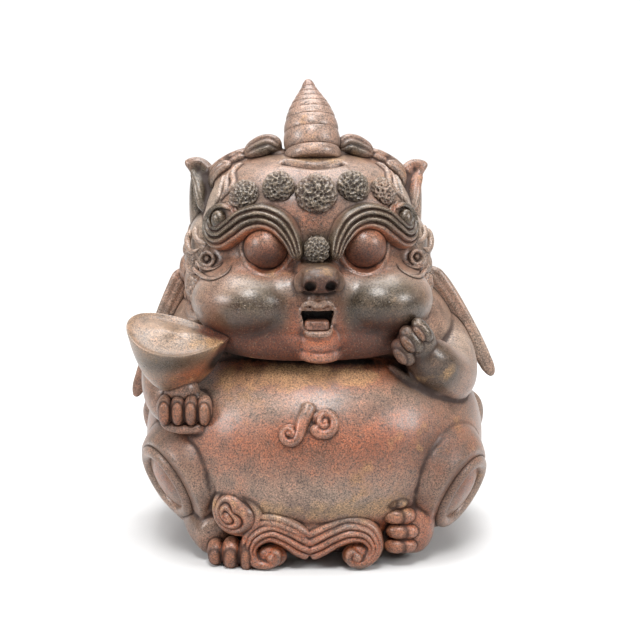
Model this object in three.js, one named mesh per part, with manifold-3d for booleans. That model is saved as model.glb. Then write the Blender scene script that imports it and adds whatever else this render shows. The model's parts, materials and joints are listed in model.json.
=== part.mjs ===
// A squat seated ceramic qilin: a horned lion-like beast with puffed cheeks and a round belly.
// It holds a boat-shaped ingot in its right paw and lifts its left paw to its cheek.
// The whole figure is one fired casting, so it is one solid.
// Millimetres, +Z up. The figure faces -Y and its left side is at +X.
// The origin is on the ground under the middle of the figure's box.

import * as THREE from 'three';
import { mergeVertices } from 'three/addons/utils/BufferGeometryUtils.js';
import Module from 'manifold-3d';

const wasm = await Module();
wasm.setup();

// Driving dimensions

const FIGURE_SHIFT = [-0.15, 1.25, 0]; // brings the middle of the figure's box over the origin
const GROUND_CUT = 20; // how deep below the ground the trimming slab reaches
const FACET = 0.4; // facets that stand off their neighbours by less than this are merged

const BELLY = { at: [0.6, -2, 42], size: [72, 69, 50], power: 2.15 };
const SHOULDERS = { at: [0, 6, 77], size: [63, 50, 44], power: 2.2 };

const HEAD_TURN = 4.4; // degrees that the face is turned to the figure's left
const HEAD_AT = [-2.6, 0, 0];
const CRANIUM = { at: [0, -2, 128], size: [45, 47, 35.5], power: 2.5 };
const JAW = { at: [0, -10, 102], size: [46, 47, 21], power: 3 };
const CHEEK = { at: [26, -34, 102.5], size: [23, 27, 17.5] };
const EYE = { x: 19.4, y: -43.2, z: 125.5, radius: 9.2, socket: 11.2 };
const NOSE = { at: [0, -59, 115.2], size: [9.3, 9, 6.6], power: 2.2 };
const NOSTRIL = { x: 4.2, z: 113.6, radius: 2, depth: 6 };
const MOUTH = { top: 103.6, bottom: 96, wideTop: 11.6, wideBottom: 9, depth: 9 };
const CHIN = { at: [0, -48, 92.8], size: [10.8, 14.6, 8.6], power: 2.6 };
const HORN = { at: [0.5, -20, 159.4], length: 34.6, radius: 11.6, lean: 20, ribs: 9 };

const INGOT = { at: [-52.6, -58, 93], length: 41, depth: 27, height: 22, turn: [26, 12, 6] };
const HAUNCH = { at: [48.4, -31, 34], size: [23.6, 30, 25] };
const HAUNCH_DISC = { normal: [0.78, -0.471, -0.418], radius: 14.8, bead: 2.2 };

const degree = Math.PI / 180;

// Solids from three.js geometry

function solid(geometry) {
  const bare = geometry.clone();
  for (const name of Object.keys(bare.attributes)) {
    if (name !== 'position') bare.deleteAttribute(name);
  }
  const merged = mergeVertices(bare, 1e-4);
  return new wasm.Manifold(new wasm.Mesh({
    numProp: 3,
    vertProperties: new Float32Array(merged.attributes.position.array),
    triVerts: new Uint32Array(merged.index.array),
  }));
}

function joined(solids) {
  return solids.reduce((whole, piece) => whole.add(piece));
}

function mirrored(piece) {
  return piece.mirror([1, 0, 0]);
}

function both(piece) {
  return piece.add(mirrored(piece));
}

// Turns, in degrees about X, Y and Z, come before the move.
function place(geometry, at = [0, 0, 0], turn = [0, 0, 0]) {
  const spin = new THREE.Euler(turn[0] * degree, turn[1] * degree, turn[2] * degree);
  const pose = new THREE.Matrix4().makeRotationFromEuler(spin).setPosition(...at);
  return geometry.applyMatrix4(pose);
}

// Turns the geometry's own +Z to the normal, then moves it.
function face(geometry, at, normal) {
  const out = new THREE.Vector3(...normal).normalize();
  const turn = new THREE.Quaternion().setFromUnitVectors(new THREE.Vector3(0, 0, 1), out);
  return geometry.applyQuaternion(turn).translate(...at);
}

// A ball with three half-sizes. A power above 2 squares its shoulders.
function blob({ at, size, power = 2, turn, around = 14, high = 8 }) {
  const ball = new THREE.SphereGeometry(1, around, high).rotateX(Math.PI / 2);
  const points = ball.attributes.position;
  const v = new THREE.Vector3();
  for (let i = 0; i < points.count; i++) {
    v.fromBufferAttribute(points, i);
    const sum = Math.abs(v.x) ** power + Math.abs(v.y) ** power + Math.abs(v.z) ** power;
    v.multiplyScalar(sum ** (-1 / power));
    points.setXYZ(i, v.x * size[0], v.y * size[1], v.z * size[2]);
  }
  return solid(place(ball, at, turn));
}

// The point on the front of a ball at x and z, moved out by the given amount.
function onFront({ at, size, power = 2 }, x, z, proud = 0) {
  const used = Math.abs((x - at[0]) / size[0]) ** power + Math.abs((z - at[2]) / size[2]) ** power;
  return [x, at[1] - size[1] * Math.max(0, 1 - used) ** (1 / power) - proud, z];
}

// A closed sweep along a smooth curve through the points. section(t) lists [side, out] pairs
// counter-clockwise, and outward(p) says which way is out at a point of the curve.
function sweep({ points, section, outward, steps = 12 }) {
  const curve = new THREE.CatmullRomCurve3(points.map((p) => new THREE.Vector3(...p)));
  const count = section(0.5).length;
  const positions = [];
  const index = [];
  for (let s = 0; s <= steps; s++) {
    const t = s / steps;
    const p = curve.getPointAt(t);
    const along = curve.getTangentAt(t);
    const side = new THREE.Vector3().crossVectors(outward(p), along).normalize();
    const out = new THREE.Vector3().crossVectors(along, side);
    for (const [a, b] of section(t)) {
      positions.push(...p.clone().addScaledVector(side, a).addScaledVector(out, b).toArray());
    }
  }
  for (let s = 0; s < steps; s++) {
    for (let k = 0; k < count; k++) {
      const a = s * count + k;
      const b = s * count + ((k + 1) % count);
      index.push(a, b, a + count, b, b + count, a + count);
    }
  }
  for (const [t, ring] of [[0, 0], [1, steps]]) {
    const centre = positions.length / 3;
    positions.push(...curve.getPointAt(t).toArray());
    for (let k = 0; k < count; k++) {
      const a = ring * count + k;
      const b = ring * count + ((k + 1) % count);
      index.push(...(ring === 0 ? [b, a, centre] : [a, b, centre]));
    }
  }
  const geometry = new THREE.BufferGeometry();
  geometry.setAttribute('position', new THREE.Float32BufferAttribute(positions, 3));
  geometry.setIndex(index);
  return solid(geometry);
}

const lerp = (a, b) => (t) => a + (b - a) * t;
const forwards = () => new THREE.Vector3(0, -1, 0.02);
const sideways = () => new THREE.Vector3(1, 0, 0.2);

// How full a limb is along its length: rounded off over the given share of each end.
function fullness(t, startShare, endShare) {
  const bow = (s) => Math.sqrt(Math.max(0.02, 1 - (1 - Math.min(1, s)) ** 2));
  return bow(t / startShare) * bow((1 - t) / endShare);
}

// A round section of changing half-width and half-thickness.
function roundSection(sides, wide, thick) {
  return (t) => Array.from({ length: sides }, (_, k) => {
    const angle = (2 * Math.PI * k) / sides;
    return [wide(t) * Math.cos(angle), thick(t) * Math.sin(angle)];
  });
}

// A band with ridges on its outer face: flat below, lobed above.
function ridgedSection(ridges, wide, thick, sink) {
  return (t) => {
    const w = wide(t);
    const h = thick(t);
    const section = [[-w, -sink], [w, -sink]];
    const points = ridges * 2;
    for (let k = 0; k <= points; k++) {
      const across = 1 - (2 * k) / points;
      const crown = Math.sqrt(Math.max(0, 1 - (across * 0.92) ** 2));
      const lobe = k % 2 === 1 ? 1 : 0.66;
      section.push([w * across, h * crown * lobe]);
    }
    return section;
  };
}

function limb({ points, wide, thick = wide, outward = forwards, steps = 8, sides = 8, start = 0.2, end = 0.2 }) {
  const w = (t) => wide(t) * fullness(t, start, end);
  const h = (t) => thick(t) * fullness(t, start, end);
  return sweep({ points, section: roundSection(sides, w, h), outward, steps });
}

function ridgedLock({ points, wide, thick, outward = forwards, steps = 10, ridges = 3, sink = 4 }) {
  const w = (t) => wide(t) * fullness(t, 0.12, 0.14);
  const h = (t) => thick(t) * fullness(t, 0.12, 0.14);
  return sweep({ points, section: ridgedSection(ridges, w, h, sink), outward, steps });
}

// A snail curl: a low dome whose ridge winds in to the middle, on a face with the given normal.
function snail({ at, normal, radius, turns = 1.5, start = 0, hand = 1, rings = 4, around = 9, high = 0.5 }) {
  const positions = [0, 0, radius * high * 1.15];
  const index = [];
  for (let r = 1; r <= rings; r++) {
    const reach = r / rings;
    for (let k = 0; k < around; k++) {
      const share = k / around;
      const wave = Math.cos(2 * Math.PI * (reach * turns - share));
      const dome = Math.sqrt(1 - 0.94 * reach * reach);
      const angle = start * degree + hand * share * 2 * Math.PI;
      positions.push(
        Math.cos(angle) * reach * radius,
        Math.sin(angle) * reach * radius,
        radius * high * (dome * (1 + 0.24 * wave) - (r === rings ? 0.5 : 0)),
      );
    }
  }
  const bottom = positions.length / 3;
  positions.push(0, 0, -radius * high);
  const turned = (a, b, c) => index.push(...(hand > 0 ? [a, b, c] : [b, a, c]));
  for (let k = 0; k < around; k++) {
    const next = (k + 1) % around;
    turned(0, 1 + k, 1 + next);
    for (let r = 0; r < rings - 1; r++) {
      const a = 1 + r * around + k;
      const b = 1 + r * around + next;
      turned(a, a + around, b);
      turned(b, a + around, b + around);
    }
    turned(1 + (rings - 1) * around + next, 1 + (rings - 1) * around + k, bottom);
  }
  const relief = new THREE.BufferGeometry();
  relief.setAttribute('position', new THREE.Float32BufferAttribute(positions, 3));
  relief.setIndex(index);
  return solid(face(relief, at, normal));
}

// Head, in its own frame: faces -Y, symmetrical about x = 0

const onSkull = (x, z, proud) => onFront(CRANIUM, x, z, proud);

function skull() {
  return joined([
    blob({ ...CRANIUM, around: 22, high: 12 }),
    blob({ ...JAW, around: 18, high: 8 }),
    both(blob({ ...CHEEK, around: 16, high: 8 })),
  ]);
}

function horn() {
  const { length, radius, ribs } = HORN;
  const ringTop = 0.14;
  const ogive = (u) => radius * Math.cos((Math.PI / 2) * u ** 1.5);
  const profile = [
    [0, -6], [radius * 0.9, -6], [radius * 0.98, 0], [radius * 1.05, 2.2], [radius * 0.94, ringTop * length],
  ];
  for (let k = 0; k < ribs; k++) {
    const low = ringTop + (1 - ringTop) * (k / ribs);
    const high = ringTop + (1 - ringTop) * ((k + 1) / ribs);
    const middle = (low + high) / 2;
    profile.push([ogive(middle) + 0.25, middle * length]);
    if (k < ribs - 1) profile.push([ogive(high) - 0.35, high * length]);
  }
  profile.push([0, length]);
  const turned = new THREE.LatheGeometry(profile.map((p) => new THREE.Vector2(...p)), 12);
  return solid(place(turned.rotateX(Math.PI / 2), HORN.at, [-HORN.lean, 0, 0]));
}

function knob(x, z, radius, on = CRANIUM) {
  const at = onFront(on, x, z, 0.6);
  return blob({ at, size: [radius, radius * 0.66, radius], around: 9, high: 5 });
}

function foreheadKnobs() {
  const bridge = blob({ at: [0, -53.5, 127.6], size: [5, 3.8, 5.2], around: 10, high: 6 });
  return joined([knob(0, 148, 7.8), both(knob(15.1, 150.6, 6.6)), both(knob(28, 148.4, 6)), bridge]);
}

function brow() {
  const route = [
    [6.4, 121], [10.1, 130], [14.7, 136.6], [20.9, 139.8], [28.3, 138.8], [35.2, 133.4], [40.6, 130.6],
    [43.6, 133.6], [42, 138.4],
  ];
  const wide = (t) => 2.6 + 2.2 * Math.sin(Math.PI * Math.min(1, t * 1.1) ** 0.8);
  const band = ridgedLock({
    points: route.map(([x, z], k) => onSkull(Math.min(x, 42), z, k === 0 ? 5 : 0.4)),
    wide,
    thick: lerp(4.4, 3.6),
    sink: 3,
    outward: (p) => new THREE.Vector3(p.x * 0.9, -34, 4),
    steps: 13,
  });
  const drop = blob({ at: onSkull(38.5, 139, 0.5), size: [3.4, 3, 4.4], turn: [0, 24, 0], around: 8, high: 6 });
  return band.add(drop);
}

function eyeSocket() {
  const { x, y, z, socket } = EYE;
  return blob({ at: [x, y - 8.4, z], size: [socket, 7.4, socket], around: 12, high: 8 });
}

function eyeball() {
  const { x, y, z, radius } = EYE;
  return blob({ at: [x, y, z], size: [radius, radius, radius], around: 12, high: 8 });
}

function muzzle() {
  return joined([
    blob({ ...NOSE, around: 12, high: 8 }),
    blob({ ...CHIN, around: 12, high: 8 }),
    blob({ at: [0, -48, 106], size: [9.6, 14.6, 4.6], power: 2.5, around: 8, high: 6 }),
    blob({ at: [0, -47, 99.5], size: [11.4, 13.4, 9], power: 3, around: 10, high: 6 }),
    blob({ at: [0, -46, 119], size: [9, 12.4, 11], around: 10, high: 6 }),
  ]);
}

function mouthCut() {
  const { top, bottom, wideTop, wideBottom, depth } = MOUTH;
  const outline = new THREE.Shape();
  outline.moveTo(-wideBottom / 2, bottom);
  outline.lineTo(wideBottom / 2, bottom);
  outline.lineTo(wideTop / 2, top);
  outline.lineTo(-wideTop / 2, top);
  const hole = new THREE.ExtrudeGeometry(outline, { depth: depth * 2, bevelEnabled: false });
  return solid(place(hole, [0, -62 + depth, 0], [90, 0, 0]));
}

function tooth() {
  return blob({ at: [0, -54.6, 97.4], size: [4.9, 4, 2.6], power: 4, around: 12, high: 4 });
}

function nostrils() {
  const hole = new THREE.CylinderGeometry(NOSTRIL.radius, NOSTRIL.radius * 0.7, NOSTRIL.depth * 2, 8);
  return both(solid(place(hole, [NOSTRIL.x, -68, NOSTRIL.z], [12, 0, 0])));
}

function ear() {
  const leaf = limb({
    points: [[40, -9, 135], [42.6, -5, 145], [45.6, 0, 153], [49.4, 4, 157.2]],
    wide: (t) => 3.8 + 2 * Math.sin(Math.PI * Math.min(1, t * 1.25)),
    thick: () => 3,
    outward: () => new THREE.Vector3(-0.3, -1, 0.3),
    start: 0.1,
    end: 0.3,
    steps: 6,
    sides: 6,
  });
  const strap = blob({ at: [45.6, 6, 139], size: [4.2, 8, 16], power: 2.6, around: 8, high: 6 });
  return leaf.add(strap);
}

function sideHair() {
  const mass = joined([
    blob({ at: [41, -4, 122], size: [11, 22, 17], around: 10, high: 6 }),
    blob({ at: [43, -4, 107], size: [10.5, 22, 14], around: 10, high: 6 }),
  ]);
  const curls = joined([
    snail({ at: [43.2, -26, 118.6], normal: [0.62, -0.75, 0.1], radius: 7, start: 200, hand: 1 }),
    snail({ at: [49.6, -10, 121], normal: [0.95, -0.25, 0.1], radius: 7.4, start: 90, hand: -1 }),
    snail({ at: [51, -12, 105], normal: [0.92, -0.36, -0.1], radius: 6.6, start: 30, hand: 1 }),
    snail({ at: [48, 8, 128], normal: [0.95, 0.25, 0.15], radius: 7.4, start: 120, hand: 1 }),
  ]);
  return mass.add(curls);
}

function crownHair() {
  return joined([
    snail({ at: [18, -13, 164.4], normal: [0.2, -0.6, 0.8], radius: 7.4, high: 0.62, start: 120, hand: 1 }),
    blob({ at: [27.5, -5, 160], size: [7.5, 9, 5.5], turn: [0, 30, 0], around: 8, high: 6 }),
    blob({ at: [35, -6, 154], size: [6.5, 9, 6], turn: [0, 50, 0], around: 8, high: 6 }),
    snail({ at: [19, 20, 158.8], normal: [0.2, 0.5, 0.85], radius: 9, start: 0, hand: 1 }),
  ]);
}

// Rows of snail curls over the back of the head.
function mane() {
  const rows = [
    { z: 143, count: 3, spread: 44, radius: 9.5 },
    { z: 124, count: 4, spread: 56, radius: 10.5 },
    { z: 106, count: 2, spread: 22, radius: 10.5 },
  ];
  const curls = [blob({ at: [0, 20, 116], size: [44, 27, 34], power: 2.4, around: 16, high: 8 })];
  for (const row of rows) {
    for (let k = 0; k < row.count; k++) {
      const share = (2 * k) / (row.count - 1) - 1;
      const angle = share * row.spread * degree;
      const rise = (row.z - 122) / 42;
      const reach = 45.5 * Math.sqrt(1 - rise ** 2 * 0.75);
      curls.push(snail({
        at: [Math.sin(angle) * reach, Math.cos(angle) * reach, row.z],
        normal: [Math.sin(angle), Math.cos(angle), rise],
        radius: row.radius,
        start: 90 + 40 * k,
        hand: share < 0 ? -1 : 1,
      }));
    }
  }
  return joined(curls);
}

function head() {
  const form = joined([skull(), muzzle(), both(sideHair()), both(crownHair()), mane()])
    .subtract(both(eyeSocket()))
    .subtract(mouthCut())
    .subtract(nostrils());
  return joined([
    form, horn(), foreheadKnobs(), both(brow()), both(eyeball()), both(ear()), tooth(),
  ]).rotate([0, 0, HEAD_TURN]).translate(HEAD_AT);
}

// Body and limbs

const onBelly = (x, z, proud) => onFront(BELLY, x, z, proud);

function trunk() {
  return joined([
    blob({ ...BELLY, around: 28, high: 14 }),
    blob({ ...SHOULDERS, around: 22, high: 10 }),
  ]);
}

function bellyScroll() {
  const stem = limb({
    points: [[-3, 65], [-4.2, 60.6], [-5, 56.4], [-8.4, 54], [-11.8, 56.2], [-10.4, 59.4], [-8.2, 57.6]]
      .map(([x, z]) => onBelly(x, z, 0.4)),
    wide: lerp(2, 1.5),
    thick: () => 1.9,
    steps: 12,
    sides: 5,
  });
  const disc = snail({ at: onBelly(4.4, 61, -0.4), normal: [0.05, -1, 0.45], radius: 5.6, start: 130, hand: 1 });
  return stem.add(disc);
}

function finger({ at, size, turn }) {
  return blob({ at, size, turn, power: 2.4, around: 6, high: 5 });
}

function rightArm() {
  const arm = limb({
    points: [[-56, 8, 84], [-60, -12, 74], [-58, -32, 65], [-51, -48, 62.5]],
    wide: lerp(13, 11),
    outward: sideways,
    start: 0.1,
    end: 0.2,
  });
  const palm = blob({ at: [-51.6, -50, 63], size: [12, 6.4, 8], around: 12, high: 6 });
  const fingers = Array.from({ length: 4 }, (_, k) => finger({
    at: [-60 + 5.3 * k, -55.4 + Math.abs(k - 1.7) * 0.9, 62], size: [2.6, 3.6, 6.4], turn: [10, 0, 0],
  }));
  return joined([arm, palm, ...fingers]);
}

// The ingot: a deep boat with a leaf-shaped rim, blunt at one end and pointed at the other,
// tilted to the front, with a low dome in its dished top.
function ingot() {
  const { at, length, depth, height, turn } = INGOT;
  const around = 20;
  const rings = [
    { share: 0.3, rise: 0 }, { share: 0.62, rise: 0.2 }, { share: 0.84, rise: 0.48 },
    { share: 0.95, rise: 0.78 }, { share: 1, rise: 1 },
    { share: 0.9, rise: 1, dish: 1.6 }, { share: 0.64, rise: 1, dish: 2.6 }, { share: 0.34, rise: 1, dish: 0.6 },
  ];
  const positions = [];
  const index = [];
  for (const { share, rise, dish = 0 } of rings) {
    for (let k = 0; k < around; k++) {
      const a = (2 * Math.PI * k) / around;
      const point = 1.3 * Math.abs(Math.sin(a / 2)) ** 0.8;
      const ends = Math.cos(a) ** 2 * rise ** 2 * 2;
      positions.push(
        (Math.cos(a) * length * share) / 2,
        (Math.sin(a) * point * depth * share) / 2,
        height * (rise - 1) + ends - dish,
      );
    }
  }
  for (let r = 0; r < rings.length - 1; r++) {
    for (let k = 0; k < around; k++) {
      const a = r * around + k;
      const b = r * around + ((k + 1) % around);
      index.push(a, b, a + around, b, b + around, a + around);
    }
  }
  const bottom = positions.length / 3;
  const top = bottom + 1;
  positions.push(0, 0, -height - 0.6, 0, 0, 0.4);
  for (let k = 0; k < around; k++) {
    const next = (k + 1) % around;
    const last = (rings.length - 1) * around;
    index.push(next, k, bottom, last + k, last + next, top);
  }
  const boat = new THREE.BufferGeometry();
  boat.setAttribute('position', new THREE.Float32BufferAttribute(positions, 3));
  boat.setIndex(index);
  return solid(place(boat, at, turn));
}

function leftArm() {
  const arm = limb({
    points: [[50, 10, 88], [56.5, -10, 76], [55.5, -28, 71], [48, -42, 79], [41.6, -50, 88]],
    wide: (t) => 13.5 - 4.6 * t * t,
    outward: sideways,
    steps: 8,
    start: 0.1,
    end: 0.2,
  });
  const turn = [0, -38, 0];
  const fingers = [
    finger({ at: [35.4, -53.6, 85.4], size: [3.3, 3.8, 6.4], turn }),
    finger({ at: [38.6, -54.6, 91], size: [3.3, 3.8, 6.6], turn }),
    finger({ at: [43.6, -53, 94.8], size: [3.1, 3.8, 6], turn }),
  ];
  const fist = blob({ at: [41, -49, 89], size: [8, 6.6, 8], around: 10, high: 6 });
  return joined([arm, fist, ...fingers]);
}

// A long flat lock hangs behind each arm, the right one lower than the left.
function hangingLock(top, tip) {
  const points = [0, 0.35, 0.7, 1].map((t) => [
    lerp(top[0], tip[0])(t), lerp(10, 5)(t), lerp(top[1], tip[1])(t) + 3 * Math.sin(Math.PI * t),
  ]);
  return limb({ points, wide: lerp(5.6, 3.4), thick: lerp(11, 6), steps: 6, sides: 6 });
}

// The haunch is cut flat on its outer side, where a beaded disc faces down and out.
function haunch(at) {
  const { normal, radius, bead } = HAUNCH_DISC;
  const cutter = new THREE.BoxGeometry(90, 90, 40).translate(0, 0, 20);
  const rim = new THREE.TorusGeometry(radius, bead, 5, 16);
  const dome = new THREE.SphereGeometry(1, 10, 4).rotateX(Math.PI / 2).scale(11, 11, 2.4);
  return blob({ ...HAUNCH, around: 16, high: 8 })
    .subtract(solid(face(cutter, at, normal)))
    .add(solid(face(rim, at, normal)))
    .add(solid(face(dome, at, normal)));
}

function rightFoot() {
  const leg = limb({
    points: [[-44, -30, 18], [-41, -43, 13], [-35.6, -54, 8.5]],
    wide: lerp(12, 9.2),
    outward: sideways,
    steps: 5,
    sides: 8,
  });
  const toes = Array.from({ length: 3 }, (_, k) => finger({
    at: [-39.4 + 7 * k, -57.6 - 0.8 * k, 5.6], size: [3.7, 5.6, 6.4], turn: [18, 0, 0],
  }));
  return joined([leg, ...toes]);
}

function leftFoot() {
  const sole = joined([
    blob({ at: [37.6, -47, 14.6], size: [11, 12, 12.6], around: 12, power: 2.2 }),
    blob({ at: [30.6, -54.4, 17.6], size: [7, 6.4, 12], around: 8, high: 6 }),
  ]);
  const toes = Array.from({ length: 4 }, (_, k) => finger({
    at: [31 + 0.6 * Math.abs(k - 2), -56.6, 26.6 - 6.3 * k], size: [7.6, 4, 3.3], turn: [0, 0, -14],
  }));
  return joined([sole, ...toes]);
}

// Each base cloud is a ridged wave that rises from the middle and rolls down round a scroll.
function baseCloud(side) {
  const route = [[0.2, 8.5], [4, 15.6], [10.6, 20], [18, 21], [25, 17.6], [28, 11], [25, 5.4]];
  const wave = ridgedLock({
    points: route.map(([x, z]) => [side * x, -63.4 + x * 0.06, z]),
    wide: (t) => 2.4 + 2.8 * Math.sin(Math.PI * Math.min(1, 0.15 + t * 0.8)),
    thick: () => 4.2,
    steps: 8,
  });
  const scroll = snail({
    at: [side * 18.6, -64.6, 8], normal: [side * 0.1, -1, 0], radius: 6.8, start: 90, hand: -side,
  });
  return wave.add(scroll);
}

function baseClouds() {
  return joined([
    blob({ at: [0, -46, 15], size: [33, 19, 11], power: 2.4, around: 14, high: 6 }),
    baseCloud(1),
    baseCloud(-1),
    snail({ at: [-29.4, -61.6, 25.4], normal: [-0.3, -1, 0.1], radius: 8.8, start: 0, hand: -1, turns: 2 }),
  ]);
}

// The tail lies up the back as ridged locks that curl over at their tips.
function tail() {
  const lock = (x, top, hand) => joined([
    ridgedLock({
      points: [[x * 0.3, 50, 8], [x * 0.7, 61, 22], [x, 64.5, 40], [x * 1.1, 60, top]],
      wide: () => 9,
      thick: () => 5,
      outward: () => new THREE.Vector3(x * 0.01, 1, 0.1),
      steps: 6,
    }),
    snail({ at: [x * 1.15, 62, top], normal: [x * 0.012, 1, 0.3], radius: 8.5, start: 90, hand }),
  ]);
  return joined([lock(0.01, 70, 1), lock(20, 56, 1), lock(-20, 56, -1)]);
}

// Short tufts behind the hips, seen past the belly on both sides.
function hipTuft() {
  return limb({
    points: [[58, 26, 28], [68, 22, 36], [71.5, 18, 46], [68, 14, 56]],
    wide: lerp(6, 4),
    thick: lerp(8, 5),
    steps: 5,
    sides: 6,
  });
}

function figure() {
  const whole = joined([
    trunk(), head(), bellyScroll(), rightArm(), ingot(), leftArm(), rightFoot(), leftFoot(),
    hangingLock([-55.4, 112], [-76.6, 53]), hangingLock([50.6, 112], [77, 64]),
    haunch([61.6, -40, 28]), mirrored(haunch([59, -40, 29.6])),
    baseClouds(), tail(), both(hipTuft()),
  ]);
  const below = solid(new THREE.BoxGeometry(400, 400, GROUND_CUT * 2).translate(0, 0, -GROUND_CUT));
  return whole.subtract(below).translate(FIGURE_SHIFT).asOriginal().simplify(FACET);
}

function geometryOf(made) {
  const mesh = made.getMesh();
  const positions = new Float32Array(mesh.numVert * 3);
  for (let i = 0; i < mesh.numVert; i++) {
    positions.set(mesh.vertProperties.subarray(i * mesh.numProp, i * mesh.numProp + 3), i * 3);
  }
  const geometry = new THREE.BufferGeometry();
  geometry.setAttribute('position', new THREE.BufferAttribute(positions, 3));
  geometry.setIndex(new THREE.BufferAttribute(mesh.triVerts, 1));
  geometry.computeVertexNormals();
  return geometry;
}

const firedClay = new THREE.MeshStandardMaterial({ color: 0x8a6a58, roughness: 0.48, metalness: 0.1 });

const qilin = new THREE.Mesh(geometryOf(figure()), firedClay);
qilin.name = 'qilin_figure';

const model = new THREE.Group();
model.add(qilin);

export default model;
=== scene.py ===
"""A wood-fired ceramic qilin figure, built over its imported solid.

It is modelled in millimetres, in the solid's own frame, and each finished piece is brought to metres.
The figure faces -Y and its left side is at +X.
"""

import contextlib
import json
import math

import bpy
import numpy as np
from mathutils import Euler, Matrix, Vector
from mathutils.bvhtree import BVHTree

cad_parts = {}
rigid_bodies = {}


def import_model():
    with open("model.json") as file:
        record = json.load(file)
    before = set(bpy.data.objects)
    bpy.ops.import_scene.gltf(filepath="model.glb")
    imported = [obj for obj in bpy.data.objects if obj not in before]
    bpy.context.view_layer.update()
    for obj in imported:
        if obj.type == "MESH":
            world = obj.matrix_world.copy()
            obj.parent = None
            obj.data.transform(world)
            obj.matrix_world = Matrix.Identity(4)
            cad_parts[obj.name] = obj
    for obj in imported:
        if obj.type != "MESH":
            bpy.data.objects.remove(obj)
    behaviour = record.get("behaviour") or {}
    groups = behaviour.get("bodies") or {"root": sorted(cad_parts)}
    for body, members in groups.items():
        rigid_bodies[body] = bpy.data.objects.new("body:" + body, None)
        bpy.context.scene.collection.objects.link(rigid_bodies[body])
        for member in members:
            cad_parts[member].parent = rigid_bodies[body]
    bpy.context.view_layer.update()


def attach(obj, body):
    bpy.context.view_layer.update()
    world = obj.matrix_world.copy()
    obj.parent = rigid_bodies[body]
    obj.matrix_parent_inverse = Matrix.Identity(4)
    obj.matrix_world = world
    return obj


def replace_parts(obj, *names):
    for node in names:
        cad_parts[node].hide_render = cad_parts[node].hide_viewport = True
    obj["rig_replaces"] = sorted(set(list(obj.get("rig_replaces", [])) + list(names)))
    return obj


bl_info = {
    "name": "Ceramic Qilin Figure",
    "version": (1, 0, 0),
    "blender": (4, 5, 0),
    "location": "3D View > Sidebar > Qilin",
    "description": "Models a wood-fired ceramic qilin that holds an ingot",
    "category": "Add Mesh",
}

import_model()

# Forms of the figure, in millimetres

FIGURE_SHIFT = (-0.15, 1.25, 0)
HEAD_AT = (-2.6, 0, 0)
BELLY = {"at": (0.6, -2, 42), "size": (72, 69, 50), "power": 2.15}
SHOULDERS = {"at": (0, 6, 77), "size": (63, 50, 44), "power": 2.2}
CRANIUM = {"at": (0, -2, 128), "size": (45, 47, 35.5), "power": 2.5}
JAW = {"at": (0, -10, 102), "size": (46, 47, 21), "power": 3}
CHEEK = {"at": (26, -34, 104), "size": (23, 27, 16)}
NOSE = {"at": (0, -59, 115.4), "size": (8.6, 9, 5.4), "power": 2.3}
EYE_AT = (19.3, -43.2, 126.2)
FACE_SHIFTS = {"eyes": 0.4, "nose": 0.9, "mouth": 0.2, "chin": 1.4}
HAUNCH_SIZE = (23.6, 30, 25)
HAUNCH_NORMAL = (0.78, -0.471, -0.418)

FORWARDS = (0, -1, 0.02)
SIDEWAYS = (1, 0, 0.2)


# Shaping: a primitive is added, and its points are then put where a form says


def deselect():
    for piece in bpy.context.selected_objects:
        piece.select_set(False)


def pick(piece):
    deselect()
    piece.select_set(True)
    bpy.context.view_layer.objects.active = piece


@contextlib.contextmanager
def editing(piece):
    """Edit mode with all of a piece selected."""
    pick(piece)
    bpy.ops.object.mode_set(mode="EDIT")
    bpy.ops.mesh.select_all(action="SELECT")
    yield
    bpy.ops.object.mode_set(mode="OBJECT")


def rows_of(source, name):
    """Three numbers for each point of a mesh, as rows."""
    values = np.empty(len(source) * 3, np.float32)
    source.foreach_get(name, values)
    return values.reshape(-1, 3)


def points_of(piece):
    return rows_of(piece.data.vertices, "co").astype(float)


def put_points(piece, rows):
    piece.data.vertices.foreach_set("co", np.ascontiguousarray(rows, np.float32).ravel())
    piece.data.update()
    return piece


def ball(segments, rings):
    deselect()
    bpy.ops.mesh.primitive_uv_sphere_add(segments=segments, ring_count=rings, radius=1)
    return bpy.context.object


def turned(rows, turn):
    """Rows turned by degrees about Z, then Y, then X."""
    spin = Euler([math.radians(a) for a in turn], "ZYX").to_matrix()
    return rows @ np.array(spin).T


def faced(rows, at, normal):
    """Rows with their own +Z turned to the normal, then moved."""
    spin = Vector((0, 0, 1)).rotation_difference(Vector(normal).normalized()).to_matrix()
    return rows @ np.array(spin).T + np.array(at)


def smooth_step(value):
    value = np.clip(value, 0, 1)
    return value * value * (3 - 2 * value)


def blob(at, size, power=2.0, turn=(0, 0, 0), segments=40, rings=24):
    """A ball with three half-sizes. A power above 2 squares its shoulders."""
    piece = ball(segments, rings)
    unit = points_of(piece)
    reach = (np.abs(unit) ** power).sum(1, keepdims=True) ** (-1 / power)
    return put_points(piece, turned(unit * reach * np.array(size), turn) + np.array(at))


def on_front(form, x, z, proud=0.0):
    """The point on the front of a ball at x and z, moved out by the given amount."""
    (cx, cy, cz), (sx, sy, sz), power = form["at"], form["size"], form.get("power", 2)
    used = abs((x - cx) / sx) ** power + abs((z - cz) / sz) ** power
    return (x, cy - sy * max(0.0, 1 - used) ** (1 / power) - proud, z)


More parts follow.
